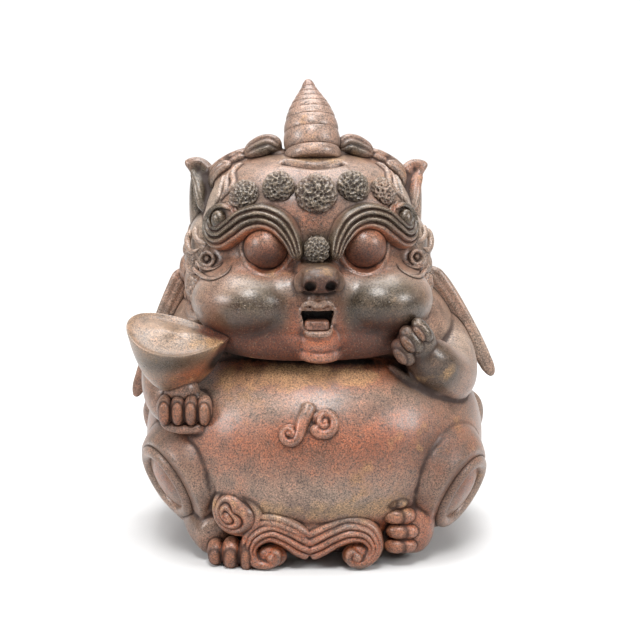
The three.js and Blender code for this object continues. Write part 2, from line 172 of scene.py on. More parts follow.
def line_through(points, samples=24):
    """A smooth line through the points."""
    p = np.array(points, float)
    p = np.vstack([2 * p[0] - p[1], p, 2 * p[-1] - p[-2]])
    u = np.linspace(0, 1, samples, endpoint=False)[:, None]
    spans = []
    for a, b, c, d in zip(p, p[1:], p[2:], p[3:]):
        g, h, k = (max(1e-6, np.linalg.norm(s)) ** 0.5 for s in (b - a, c - b, d - c))
        leave = ((b - a) / g - (c - a) / (g + h) + (c - b) / h) * h
        arrive = ((c - b) / h - (d - b) / (h + k) + (d - c) / k) * h
        spans.append(
            b + leave * u + (3 * (c - b) - 2 * leave - arrive) * u**2 + (2 * (b - c) + leave + arrive) * u**3
        )
    return np.vstack([*spans, p[-2][None]])


def shares_of(line):
    """How far along a line each of its points lies."""
    steps = np.linalg.norm(np.diff(line, axis=0), axis=1)
    return np.concatenate([[0], np.cumsum(steps)]) / steps.sum()


def walk(points, t):
    """Places and directions at the shares t of a smooth line's length."""
    line = line_through(points)
    share = shares_of(line)
    slope = np.gradient(line, share, axis=0)
    place = np.stack([np.interp(t, share, line[:, k]) for k in range(3)], 1)
    along = np.stack([np.interp(t, share, slope[:, k]) for k in range(3)], 1)
    return place, along / np.linalg.norm(along, axis=1, keepdims=True)


def rounding(t, start, end):
    """How full a limb is along its length: rounded off over a share of each end."""
    near = np.clip(t / start, 0, 1)
    far = np.clip((1 - t) / end, 0, 1)
    return np.sqrt(1 - (1 - near) ** 2) * np.sqrt(1 - (1 - far) ** 2)


def swept(points, section, outward, segments, rings):
    """A ball drawn out along a smooth line. section(t, angle) gives its reach to the side and outwards."""
    piece = ball(segments, rings)
    unit = points_of(piece)
    angle = np.arctan2(unit[:, 1], unit[:, 0])
    t = np.arccos(np.clip(-unit[:, 2], -1, 1)) / (2 * np.pi) + (1 + unit[:, 2]) / 4
    place, along = walk(points, t)
    out = outward(place) if callable(outward) else np.broadcast_to(np.array(outward, float), place.shape)
    side = np.cross(out, along)
    side /= np.linalg.norm(side, axis=1, keepdims=True)
    across, up = section(t, angle)
    return put_points(piece, place + side * across[:, None] + np.cross(along, side) * up[:, None])


def between(a, b):
    return lambda t: a + (b - a) * t


def limb(points, wide, thick=None, outward=FORWARDS, start=0.2, end=0.2, segments=32, rings=48):
    thick = thick or wide

    def section(t, angle):
        full = rounding(t, start, end)
        return wide(t) * full * np.cos(angle), thick(t) * full * np.sin(angle)

    return swept(points, section, outward, segments, rings)


def ridged(
    points, wide, thick, ridges=3, outward=FORWARDS, sink=3.0, depth=0.34, start=0.1, end=0.12,
    segments=72, rings=90,
):
    """A band with rounded ridges along its outer face."""

    def section(t, angle):
        full = rounding(t, start, end)
        across = np.cos(angle)
        lobe = np.sqrt(np.clip(1 - (2 * ((across + 1) / 2 * ridges % 1) - 1) ** 2, 0, 1))
        crown = np.sqrt(1 - (across * 0.9) ** 2)
        top = thick(t) * crown * (1 - depth + depth * lobe)
        return wide(t) * full * across, np.where(np.sin(angle) > 0, top, -sink) * full

    return swept(points, section, outward, segments, rings)


def snail(
    at, normal, radius, turns=1.5, start=0, hand=1, high=0.5, groove=0.34, lean=(0, 0), segments=72, rings=56,
):
    """A low dome on which a rounded roll winds in to a small button, which may lean to one side."""
    piece = ball(segments, rings)
    unit = points_of(piece)
    across, up = (unit[:, :2] - np.outer(1 - np.hypot(unit[:, 0], unit[:, 1]), lean)).T
    reach = np.hypot(across, up)
    turned_by = np.arctan2(up, across) / (2 * np.pi)
    place = (reach * turns - hand * turned_by + start / 360) % 1
    roll = np.sqrt(np.clip(1 - (2 * place - 1) ** 2, 0, 1))
    button = 1 - smooth_step(reach / 0.3)
    dome = np.sqrt(1 - 0.92 * (unit[:, :2] ** 2).sum(1))
    top = dome * (1 - groove + groove * np.maximum(roll, button)) * 1.1
    rows = np.column_stack([unit[:, :2] * radius, np.where(unit[:, 2] > -0.01, top, -0.8) * radius * high])
    return put_points(piece, faced(rows, at, normal))


def torus(at, normal, radius, bead, flat=1.0):
    deselect()
    bpy.ops.mesh.primitive_torus_add(
        major_radius=radius, minor_radius=bead, major_segments=96, minor_segments=20
    )
    piece = bpy.context.object
    return put_points(piece, faced(points_of(piece) * (1, 1, flat), at, normal))


def winding(at, radius, core, turns, start, hand):
    """Flat points of a spiral that winds in to its core, seen from the front. Its start is in degrees."""
    steps = int(9 * turns)
    points = []
    for k in range(steps + 1):
        angle = math.radians(start + hand * 360 * turns * k / steps)
        reach = radius + (core - radius) * k / steps
        points.append((at[0] + reach * math.cos(angle), at[1] + reach * math.sin(angle)))
    return points


def coil(at, normal, radius, bead, turns=1.5, start=0, hand=1):
    """A round ribbon wound flat into a spiral."""
    route = winding((0, 0), radius - bead, bead * 0.5, turns, start, hand)
    rows = np.array([(x, y, 0.35 * bead * k / len(route)) for k, (x, y) in enumerate(route)])
    return limb(
        faced(rows, at, normal), between(bead, bead * 0.8), outward=normal, start=0.1, end=0.05,
        segments=24, rings=72,
    )


def mirrored(pieces):
    for piece in pieces:
        piece.data.transform(Matrix.Scale(-1, 4, (1, 0, 0)))
        piece.data.flip_normals()
    return pieces


def twin(piece):
    """The piece and its mirror image across the middle."""
    pick(piece)
    bpy.ops.object.duplicate()
    return [piece, *mirrored([bpy.context.object])]


def moved(pieces, by):
    for piece in flat(pieces):
        put_points(piece, points_of(piece) + np.array(by))
    return pieces


def joined(pieces, name):
    deselect()
    for piece in pieces:
        piece.select_set(True)
    bpy.context.view_layer.objects.active = pieces[0]
    if len(pieces) > 1:
        bpy.ops.object.join()
    made = bpy.context.object
    made.name = made.data.name = name
    return made


def flat(pieces):
    """One list from pieces and lists of pieces."""
    found = []
    for piece in pieces:
        found.extend(flat(piece) if isinstance(piece, (list, tuple)) else [piece])
    return found


def applied(piece, kind, **settings):
    pick(piece)
    modifier = piece.modifiers.new(kind.title(), kind)
    for name, value in settings.items():
        setattr(modifier, name, value)
    bpy.ops.object.modifier_apply(modifier=modifier.name)
    return piece


def fused(pieces, name, grain, passes=3):
    """The pieces as one skin, with its creases softened as in a slip-cast shell."""
    piece = joined(flat(pieces), name)
    applied(piece, "REMESH", mode="VOXEL", voxel_size=grain, adaptivity=0)
    return applied(piece, "SMOOTH", factor=0.5, iterations=passes)


def carved(piece, cutters):
    cutter = joined(flat(cutters), "cutter")
    applied(piece, "BOOLEAN", operation="DIFFERENCE", solver="MANIFOLD", object=cutter)
    bpy.data.objects.remove(cutter)
    return piece


def thinned(piece, triangles):
    piece.data.calc_loop_triangles()
    share = triangles / max(1, len(piece.data.loop_triangles))
    if share < 1:
        applied(piece, "DECIMATE", decimate_type="COLLAPSE", ratio=share, use_collapse_triangulate=True)
    return piece


def stroke(piece, points, radius, depth, reach_in=1.0):
    """Presses a rounded tool along a line into the surface. A depth below zero raises a ridge."""
    rows = points_of(piece)
    line = line_through(points, 12)
    scale = np.array([1, reach_in, 1])
    box = np.ptp(line, axis=0) * scale + 3 * radius
    near = np.flatnonzero((np.abs(rows - line.mean(0)) * scale < box).all(1))
    gap = np.full(len(near), np.inf)
    for place in line:
        gap = np.minimum(gap, (((rows[near] - place) * scale) ** 2).sum(1))
    push = depth * np.exp(-gap / radius**2)
    rows[near] -= rows_of(piece.data.vertex_normals, "vector")[near] * push[:, None]
    return put_points(piece, rows)


def tree_of(piece, rows):
    """The piece's faces on the given rows, to be searched by place or by ray."""
    piece.data.calc_loop_triangles()
    return BVHTree.FromPolygons(rows.tolist(), [tuple(t.vertices) for t in piece.data.loop_triangles])


def surface_of(piece, pose=None):
    """Finds points on a piece's front from x and z, for a finished piece in the frame of the given pose."""
    rows = points_of(piece)
    if pose is not None:
        back = np.array((Matrix.Translation(Vector(FIGURE_SHIFT)) @ pose).inverted())
        rows = rows * 1000 @ back[:3, :3].T + back[:3, 3]
    tree = tree_of(piece, rows)

    def at(x, z, proud=0.0):
        place, normal, _, _ = tree.ray_cast(Vector((x, -150, z)), Vector((0, 1, 0)))
        if place is None:
            raise RuntimeError(f"{piece.name} has no surface at {x}, {z}")
        return tuple(place + normal * proud)

    return at


# Head, in its own frame: it faces -Y, symmetrical about x = 0


def shifted(pieces, feature):
    """Pieces of the face, moved off its middle as that feature is."""
    return moved(pieces, (FACE_SHIFTS[feature], 0, 0))


def skull_forms():
    jowl = [(-42, -29, 92.6), (-34, -43, 91), (-20, -49.6, 89.2), (0, -51, 88.6), (20, -49.6, 89.2),
            (34, -43, 91), (42, -29, 92.6)]
    crest = [(12, -9, 159.4), (22, -9, 160), (31, -8, 157.8), (38, -6, 153), (42, -5, 146.4)]
    return [
        blob(**CRANIUM, segments=96, rings=64),
        blob(**JAW, segments=96, rings=48),
        twin(blob(**CHEEK, segments=72, rings=48)),
        twin(blob((21, -36, 115), (17, 13.6, 9.6))),
        twin(blob((39.4, -26, 117), (6.6, 9, 9))),
        twin(limb(crest, between(5.4, 4.2), outward=(0, -1, 0.5))),
        limb(jowl, between(7, 7), outward=(0, 0, 1), segments=40, rings=80),
    ]


def muzzle_forms():
    """The nose, the open mouth's lips and the chin."""
    lip = [(6.2, -59, 103.8), (5, -61, 105.8), (2.6, -61.8, 106.6), (0.2, -61.8, 104.6)]
    upper = [
        (-7.2, -56.6, 102.2), (-4, -59.4, 103.4), (0, -60.2, 103.7), (4, -59.4, 103.4), (7.2, -56.6, 102.2),
    ]
    lower = [
        (-5.4, -57.4, 94.8), (-2.8, -59.8, 93.9), (0.4, -60.2, 93.7), (3.4, -59.8, 93.9), (6, -57.2, 94.8),
    ]
    jut = [(-0.8, -50, 98), (-0.3, -54, 93), (0, -54.8, 88), (0, -51, 82.8)]
    fold = [(-10, -53, 86.4), (-5, -57.6, 84.6), (0, -58.8, 84.2), (5, -57.6, 84.6), (10, -53, 86.4)]
    nose = [
        blob(**NOSE),
        twin(blob((7.4, -57.4, 114), (2.5, 4.4, 3.9))),
        blob((0, -47, 117.4), (8.6, 12.4, 5.2)),
    ]
    mouth = [
        blob((0, -48.4, 106.4), (4.8, 11.6, 4.4), 2.2),
        blob((0, -46.6, 99.5), (8.2, 13, 9), 2.6),
        twin(limb(lip, between(1.1, 1.6), outward=(0, -1, 0), start=0.3, end=0.1)),
        limb(upper, between(0.9, 0.9), outward=(0, -1, 0)),
        limb(lower, between(1.4, 1.4), outward=(0, -1, 0)),
    ]
    chin = [
        blob((0, -48, 90), (15, 7, 8), 2.2),
        limb(jut, between(6, 10.4), between(5.4, 5.6), (0, -1, 0), start=0.15, end=0.25, segments=48),
        limb(fold, between(2.1, 2.1), outward=(0, -1, 0)),
    ]
    return [shifted(nose, "nose"), shifted(mouth, "mouth"), shifted(chin, "chin")]


def face_cutters(sizes):
    """What is scooped out of the clay: the eye sockets, the mouth and the nostrils."""
    x, y, z = EYE_AT
    socket = sizes.eye_radius * 1000 + 0.8
    deselect()
    bpy.ops.mesh.primitive_cube_add(size=1)
    mouth = bpy.context.object
    rows = points_of(mouth)
    rows[:, 0] *= np.where(rows[:, 2] > 0, 13.4, 9.4)
    put_points(mouth, rows * (1, 18, 8) + (0, -61, 99))
    applied(mouth, "BEVEL", width=1.3, segments=4)
    hole = ball(24, 16)
    put_points(hole, turned(points_of(hole) * (2.5, 2.1, 5.4), (78, 0, 0)) + (4, -65.8, 113.3))
    return [
        shifted(twin(blob((x, y - 8, z), (socket, 7.4, socket))), "eyes"),
        shifted([mouth], "mouth"),
        shifted(twin(hole), "nose"),
    ]


def brow_forms():
    """Each brow is a broad ridged band that rises from the nose and hooks round a drop."""
    route = [
        (6.8, 121.8), (9.4, 130), (13.6, 135.9), (20, 138.5), (26.6, 136.9), (31.8, 132.7), (35.8, 129.6),
        (39.4, 129.8), (41.3, 132.6), (41.2, 136.6), (39.2, 140.4), (35.8, 142), (32.6, 140.8),
    ]

    def wide(t):
        shares = [0, 0.18, 0.45, 0.62, 0.71, 0.78, 0.86, 1]
        return np.interp(t, shares, [2.2, 4.8, 5.6, 5, 3.6, 1.8, 1.15, 0.9])

    def out(place):
        return np.column_stack([place[:, 0] * 0.9, np.full(len(place), -34.0), np.full(len(place), 4.0)])

    line = [on_front(CRANIUM, x, z, (4.6, 2.2)[k] if k < 2 else 1.1) for k, (x, z) in enumerate(route)]
    band = ridged(line, wide, lambda t: np.interp(t, [0, 0.6, 0.8, 1], [4.8, 4.2, 2.4, 1.8]), 4, out,
                  depth=0.75, start=0.04, end=0.06, segments=112, rings=180)
    drop = blob(on_front(CRANIUM, 37, 135.8, 0.6), (3.5, 3, 4.5), turn=(0, 16, 0))
    tuft = []
    for k in (0, 1):
        hair = (
            (34.4 - 1.9 * k, 143.4 - 0.8 * k, 0.4), (32.4 - 1.5 * k, 141, 0.9), (31.6 - 1.2 * k, 138.2, 0.6),
        )
        tuft.append(limb([on_front(CRANIUM, *place) for place in hair], between(0.7, 0.9)))
    return [twin(piece) for piece in [band, drop, *tuft]]


def eye_rims(sizes, surface):
    """A thin lip of clay round each socket, laid on the face."""
    x, _, z = EYE_AT
    reach = sizes.eye_radius * 1000 + 1.1
    rims = []
    for side in (1, -1):
        middle = side * x + FACE_SHIFTS["eyes"]
        ring = []
        for k in range(25):
            angle = math.radians(90 + 15 * k)
            ring.append(surface(middle + reach * math.cos(angle), z + reach * math.sin(angle), 0.1))
        rims.append(limb(ring, between(0.55, 0.6), None, (0, -1, 0.01), 0.02, 0.02, segments=20, rings=120))
    return rims


def ear_forms():
    """Leaf-shaped ears whose tips curl out, each in front of a flat strap. One ear stands lower."""

    def wide(t):
        return 1.8 + 4.0 * np.sin(np.pi * np.clip(0.1 + t * 0.82, 0, 1))

    def leaf(rise):
        route = ((42.4, -10, 0), (42.2, -7.6, 7.4), (42.8, -5, 13.6), (46, -2.6, 18.8), (51.4, -1.2, 21.2))
        points = [(x, y, 137 + up * rise) for x, y, up in route]
        return limb(points, wide, between(2.8, 2), (-0.1, -1, 0.2), 0.12, 0.28, segments=48, rings=64)

    strap = blob((45.6, 6, 139), (4.2, 8, 16), 2.6)
    return [leaf(0.94)] + mirrored([leaf(1)]) + twin(strap)


def side_hair_forms(surface):
    """Spiral curls, ridged strands and small lumps in front of and below each ear."""
    middle = (42.4, 120.6)
    strands = []
    for reach, first, last, bead in ((4.7, 195, 345, 0.85), (7.3, 215, 352, 0.95)):
        route = []
        for k in range(9):
            angle = math.radians(first + (last - first) * k / 8)
            x = middle[0] - reach * math.cos(angle) * (1 + 0.35 * max(0, math.cos(angle)))
            z = middle[1] + (reach - 0.6) * math.sin(angle)
            route.append((x, surface(min(x, 43.4), z, 0.3)[1] + 1.1 * max(0, x - 43.4), z))
        strands.append(limb(route, lambda t, b=bead: b * (1 - 0.4 * t), between(1.4, 1), FORWARDS, 0.1, 0.4))
    strands += [
        limb([(49, -18, 131), (50.4, -19, 126), (48.6, -25, 122.6), (45.6, -28, 124)],
             between(1.6, 0.9), outward=SIDEWAYS),
        limb([(47, -21, 132.6), (46.8, -25, 128.4), (43.6, -29, 126.6), (40.4, -31, 127.4)],
             between(1.5, 0.8), outward=SIDEWAYS),
        ridged([(49.4, -10, 99), (48.6, -20, 95.6), (45.8, -29, 96.6), (43.6, -34, 100.6)],
               lambda t: 3 - 1.4 * t, between(3, 1.6), 2, lambda p: p * (1, 1, 0), end=0.3),
    ]
    front = surface(middle[0], middle[1])[1]
    curls = [
        torus((middle[0], front - 1.2, middle[1]), (0.3, -0.95, 0.1), 2.7, 0.85),
        blob((middle[0], front + 0.4, middle[1]), (2.7, 1.2, 2.7)),
        blob((middle[0], front - 1, middle[1]), (0.9, 1.4, 0.9)),
        coil((48.6, -18.6, 118.4), (0.82, -0.56, 0.05), 3.4, 1.0, 1.2, 90, -1),
        coil((48.8, -22, 109.6), (0.8, -0.6, -0.05), 3.6, 1.1, 1.2, 30, 1),
        coil((47.2, -28, 103.4), (0.72, -0.68, -0.15), 3, 1.0, 1.2, 30, 1),
        snail((48, -17, 116), (0.82, -0.56, 0.05), 4.6, 1.4, 90, -1, 0.6),
        snail((47.8, -21, 107.6), (0.8, -0.6, -0.05), 4.8, 1.4, 30, 1, 0.6),
        snail((46, -27, 101.4), (0.72, -0.68, -0.15), 3.8, 1.3, 30, 1, 0.6),
        snail((48.8, -9, 121.6), (0.95, -0.25, 0.05), 5.6, 1.5, 120, 1, 0.6),
        snail((47, 8, 127), (0.95, 0.25, 0.15), 6.6, 1.5, 120, 1, 0.5),
        snail((50, 4, 112), (0.97, 0.2, -0.05), 7, 1.5, 300, -1, 0.55),
        snail((49, 2, 99.4), (0.95, 0.1, -0.3), 5.8, 1.5, 300, 1, 0.55),
    ]
    mass = [blob((41, -4, 122), (10, 21, 16)), blob((43, -4, 107), (9.2, 21, 13))]
    return [twin(piece) for piece in strands + curls + mass]


def crown_forms():
    """Ridged curls beside the horn and soft wavy strands over the temples."""

    def up(place):
        return np.column_stack([place[:, 0] * 0.2, np.full(len(place), -6.0), np.full(len(place), 3.0)])

    roll = [(26, -13, 160.6), (21.6, -14.6, 163.8), (16, -15.6, 165.6), (11.4, -16, 163.4)]
    inner = [(24, -12, 161), (29, -12, 160.8), (33, -10, 158.4), (35.6, -8, 154.6)]
    outer = [(32, -13, 157.8), (36.4, -11.6, 156), (39.4, -9.6, 152.4), (40.4, -6, 147.6)]
    curl = ridged(roll, lambda t: 2.4 + 2.2 * np.sin(np.pi * t), between(3.6, 3.6), 3, up,
                  depth=0.55, start=0.25, end=0.2)
    strands = [
        ridged(inner, between(2.6, 2.8), between(2, 1.6), 2, up, depth=0.5, start=0.25, end=0.3),
        ridged(outer, between(2.4, 2.6), between(1.8, 1.5), 2, up, depth=0.5, start=0.25, end=0.3),
        blob((12, -14, 160), (5, 6, 4)),
    ]
    for k in range(3):
        fold = (
            (27 + 3.6 * k, 158 - 2.4 * k), (31 + 2.6 * k, 154.6 - 3 * k), (31.4 + 3 * k, 150 - 2.8 * k),
            (34.4 + 2.4 * k, 146 - 2.6 * k),
        )
        fold = [on_front(CRANIUM, x, z, 0.1) for x, z in fold]
        strands.append(limb(fold, between(1.9, 1.3), between(1, 0.7)))
    return [twin(piece) for piece in [curl, *strands, snail((19, 20, 158.8), (0.2, 0.5, 0.85), 9, 1.6, 0)]]


def mane_forms():
    """Rows of snail curls over the back of the head."""
    rows = [
        (151, 3, 42, 8), (139, 4, 56, 8.4), (126, 5, 64, 8.6), (113, 4, 56, 8.6), (101, 5, 62, 8),
    ]
    curls = [blob((0, 20, 116), (44, 27, 34), 2.4, segments=72, rings=48)]
    for height, count, spread, radius in rows:
        rise = (height - 122) / 42
        reach = 46.5 * math.sqrt(1 - 0.75 * rise**2)
        for k in range(count):
            angle = math.radians(spread * (2 * k / (count - 1) - 1))
            curls.append(snail(
                (math.sin(angle) * reach, math.cos(angle) * reach, height),
                (math.sin(angle), math.cos(angle), rise), radius, 1.5, 90 + 40 * k, -1 if angle < 0 else 1,
            ))
    return curls


def head_detail(piece):
    """Tooled lines that are pressed in after the forms are joined."""
    wrinkle = [
        (-11, -29.6, 158.2), (-5, -32.4, 157.4), (1, -33.6, 156.9), (7, -32.6, 157.2), (12, -30, 158.2),
    ]
    ear_hollow = np.array([(41.4, -12, 139.4), (41.4, -10, 146), (42.8, -7, 151.6), (45.6, -5, 154.8)])
    nostril_wing = np.array([(6.9, -62, 117.8), (7.3, -62.6, 115), (6.8, -62.4, 111.6)])
    stroke(piece, wrinkle, 1.2, 2.6)
    stroke(piece, [(-12.6, -32, 155.4), (1, -36, 154), (13.4, -32.6, 155.2)], 1.4, -1.1)
    stroke(piece, [(-11, -27.4, 160.6), (1, -31.4, 159.4), (12, -27.8, 160.6)], 1.3, -0.8)
    for side in (1, -1):
        mirror = np.array([side, 1, 1])
        stroke(piece, ear_hollow * mirror, 2.7, 2.1)
        stroke(piece, nostril_wing * mirror + (FACE_SHIFTS["nose"], 0, 0), 0.7, 0.8, 0.4)
    chin = np.array([(-8, -56, 87.4), (0, -60, 86.8), (8, -56, 87.4)])
    stroke(piece, chin + (FACE_SHIFTS["chin"], 0, 0), 0.9, 0.35, 0.4)
    return piece


# Belly, limbs and base, in the figure's frame


def trunk_forms():
    right_arm = [(-56, 8, 84), (-60, -12, 74), (-58, -32, 65), (-51, -48, 62.5)]
    left_arm = [(50, 10, 88), (56.5, -10, 76), (55.5, -28, 71), (48, -42, 79), (41.6, -50, 88)]
    right_leg = [(-44, -30, 18), (-41, -43, 13), (-35.6, -54, 8.5)]
    tuft = [(58, 26, 28), (68, 22, 36), (71.5, 18, 46), (68, 14, 56)]
    pad = [(-61, -48, 58.4), (-57, -53.6, 55.8), (-50, -56, 55), (-43, -54.6, 56), (-40, -49.4, 59.4)]
    return [
        blob(**BELLY, segments=160, rings=110),
        blob(**SHOULDERS, segments=120, rings=80),
        limb(right_arm, between(12.4, 11), outward=SIDEWAYS, start=0.1),
        blob((-50.6, -49.4, 62.6), (12, 6.4, 7.6)),
        blob((-52, -50, 70), (7, 6, 6)),
        limb(pad, between(1.9, 1.9), outward=(0, 0, 1)),
        limb(left_arm, lambda t: 12.8 - 3.5 * t * t, outward=SIDEWAYS, start=0.1),
        blob((41, -49, 89), (8, 6.6, 8)),
        limb([(30, -43.4, 79), (37, -46.8, 74.6), (43, -46.6, 70.4), (50, -44, 66.8), (56, -37.6, 63.4)],
             between(1.4, 1.1), outward=(0, -1, -0.4)),
        haunch((61.6, -40, 28)),
        mirrored(haunch((59, -40, 29.6))),
        limb(right_leg, between(12, 9.2), outward=SIDEWAYS),
        blob((40, -47.4, 15), (9.4, 12, 12.8), 2.2),
        blob((36, -52, 17.4), (7.4, 6.4, 12)),
        blob((0, -46, 17), (33, 19, 9.4), 2.4),
        twin(limb(tuft, between(6, 4), between(8, 5))),
        tail_forms(),
    ]


def haunch(at):
    """A round haunch that is sliced flat on its outer side."""
    piece = blob((48.4, -31, 34), HAUNCH_SIZE, segments=64, rings=48)
    with editing(piece):
        bpy.ops.mesh.bisect(plane_co=at, plane_no=HAUNCH_NORMAL, use_fill=True, clear_outer=True)
    return [piece]


def haunch_disc(at):
    """The round disc on a haunch: a thick rim, a groove and a low dome."""
    rounds = [ball(64, 24), ball(64, 24)]
    for piece, size in zip(rounds, ((11, 11, 2.8), (14.6, 14.6, 1.2))):
        put_points(piece, faced(points_of(piece) * size, at, HAUNCH_NORMAL))
    return [torus(at, HAUNCH_NORMAL, 14.2, 2.8), *rounds]


def tail_forms():
    """The tail lies up the back as ridged locks that curl over at their tips."""
    forms = []
    for x, top, hand in ((0.01, 70, 1), (20, 56, 1), (-20, 56, -1), (9, 82, 1), (-10, 84, -1)):
        forms.append(ridged(
            [(x * 0.3, 50, 8), (x * 0.7, 61, 22), (x, 64.5, 40), (x * 1.1, 60, top)],
            between(9, 8), between(5, 5), 4, (x * 0.01, 1, 0.1), segments=64, rings=72,
        ))
        forms.append(snail((x * 1.15, 61.6, top), (x * 0.012, 1, 0.3), 8.5, 1.5, 90, hand))
    return forms


def trunk_detail(piece):
    stroke(piece, [(-62, -38, 51.6), (-52, -50.6, 50.4), (-44.6, -56.4, 46.9), (-39.6, -59.4, 38),
                   (-38.5, -59.6, 30), (-41.6, -56, 22)], 0.9, 0.5)
    stroke(piece, [(60, -45, 51.6), (50, -54.6, 48.4), (44.6, -58, 40), (41, -59.4, 31)], 0.9, 0.5)
    return piece


def finger(at, size, turn, nail, nail_size):
    """A fat finger with a rounded nail set into its tip."""
    return blob(at, size, 2.4, turn, 28, 20), blob(nail, nail_size, 2.2, turn, 28, 20)


def gathered(parts):
    """Pairs of a finger and its nail as one list of fingers and one of nails."""
    return [list(pieces) for pieces in zip(*parts)]


def right_paw_parts():
    return gathered([
        finger((-58.4 + 5.3 * k, -53.6 - 0.5 * min(k, 2), 62.4), (3.0, 4.8, 6.2), (12, 0, 0),
               (-58.4 + 5.3 * k, -56.8 - 0.5 * min(k, 2), 61.8), (2.3, 2.6, 4.9))
        for k in range(4)
    ])


def left_paw_parts():
    turn = (0, -38, 0)
    return gathered([
        finger((35.8, -53.3, 85.6), (3.3, 3.9, 6.1), turn, (34.5, -55.7, 84.6), (2.1, 2.3, 4)),
        finger((39, -54.1, 90.8), (3.3, 3.9, 6.3), turn, (37.4, -56.5, 89.6), (2.1, 2.3, 4.1)),
        finger((43.2, -52.7, 94.4), (3, 3.9, 5.6), turn, (41.8, -55.1, 93.4), (1.9, 2.3, 3.6)),
    ])


def right_foot_parts():
    return gathered([
        finger((x, y, 5.2), (wide, 5.6, high), (20, 0, 0),
               (x - 0.2, y - 3, 4.4), (wide * 0.74, 3.4, high * 0.72))
        for x, y, wide, high in ((-38.6, -56, 3.5, 5.2), (-32.2, -58.6, 3.9, 6.8), (-26, -60, 3.2, 7.6))
    ])


def left_foot_parts():
    return gathered([
        finger((x + 1.4, -57, z), (6.4, 5.2, high), (0, 0, -12), (x - 0.6, -59.4, z), (4.9, 3.4, high * 0.88))
        for x, z, high in ((30.6, 26.8, 3.4), (33.4, 20.6, 3.5), (34.8, 14.4, 3.4), (34, 8.4, 3.3))
    ])


def ingot_form(sizes):
    """A deep boat with a leaf-shaped rim, drawn up from a keel ring by extruding and widening."""
    length, depth, height = (v * 1000 for v in (sizes.ingot_length, sizes.ingot_depth, sizes.ingot_height))
    outer = [(0.3, 0), (0.4, 0.03), (0.52, 0.12), (0.66, 0.28), (0.78, 0.47), (0.89, 0.7), (0.97, 0.92)]
    inner = [(1, 0), (0.94, 0.5), (0.88, 1.1), (0.76, 1.4), (0.6, 1.0), (0.42, 0.2), (0.2, -0.3)]
    rings = [(share, rise, 0) for share, rise in outer] + [(share, 1, dish) for share, dish in inner]
    deselect()
    bpy.ops.mesh.primitive_circle_add(vertices=96, radius=1, fill_type="NGON")
    boat = bpy.context.object
    with editing(boat):
        for _ in rings[1:]:
            bpy.ops.mesh.extrude_region_move(TRANSFORM_OT_translate={"value": (0, 0, 1)})
    rows = points_of(boat)
    level = np.rint(rows[:, 2]).astype(int)
    angle = np.arctan2(rows[:, 1], rows[:, 0])
    share, rise, dish = (np.array(column, float)[level] for column in zip(*rings))
    ends = np.cos(angle) ** 2 * rise**2 * 2
    point = 1.3 * np.abs(np.sin(angle / 2)) ** 0.8
    put_points(boat, np.column_stack([
        np.cos(angle) * length * share / 2 + 2.5 * (1 - rise),
        np.sin(angle) * point * depth * share / 2,
        height * (rise - 1) + ends - dish,
    ]))
    with editing(boat):
        bpy.ops.mesh.normals_make_consistent(inside=False)
    applied(boat, "SUBSURF", levels=2, render_levels=2)
    return put_points(boat, turned(points_of(boat), (26, 12, 6)) + (-52.6, -58, 93))


def hanging_lock(top, tip):
    """A flat lock with a ridged front face, hanging from its top's x and z to its tip's."""
    points = []
    for t in (0, 0.35, 0.7, 1):
        x, z = (a + (b - a) * t for a, b in zip(top, tip))
        points.append((x, 10 - 5 * t, z + 3 * math.sin(math.pi * t)))
    return [
        limb(points, between(5.4, 3.2), between(11, 6)),
        ridged([(x, y - 9.4 + 4.8 * k / 3, z) for k, (x, y, z) in enumerate(points)],
               between(5, 2.8), between(2.4, 1.6), 3, outward=(0, -1, 0)),
    ]


def belly_scroll_forms():
    """A stem that winds in to the right of the figure beside an open spiral."""
    stem = [(-0.9, 67.4), (-2.2, 63.8), (-3.8, 60.4), *winding((-8.9, 56.4), 3.7, 0.8, 1.2, -10, -1)]
    spiral = winding((4.9, 60.8), 5, 0.9, 1.4, 195, 1)

    def band(route, shares, widths, start, rings):
        route = [on_front(BELLY, x, z, 0.6) for x, z in route]
        return limb(
            route, lambda t: np.interp(t, shares, widths), between(2.2, 2),
            start=start, end=0.05, rings=rings,
        )

    return [
        band(stem, [0, 0.3, 0.5, 1], [3.1, 2.5, 1.8, 1.2], 0.06, 110),
        band(spiral, [0, 0.5, 1], [2.2, 1.9, 1.2], 0.08, 120),
        blob(on_front(BELLY, -9, 56.6, 0.8), (1.4, 1.7, 1.4)),
        blob(on_front(BELLY, 4.9, 60.8, 0.8), (1.4, 1.7, 1.4)),
        blob(on_front(BELLY, -8.9, 56.4), (3.8, 1.2, 3.8)),
        blob(on_front(BELLY, 4.9, 60.8), (5, 1.2, 5)),
    ]


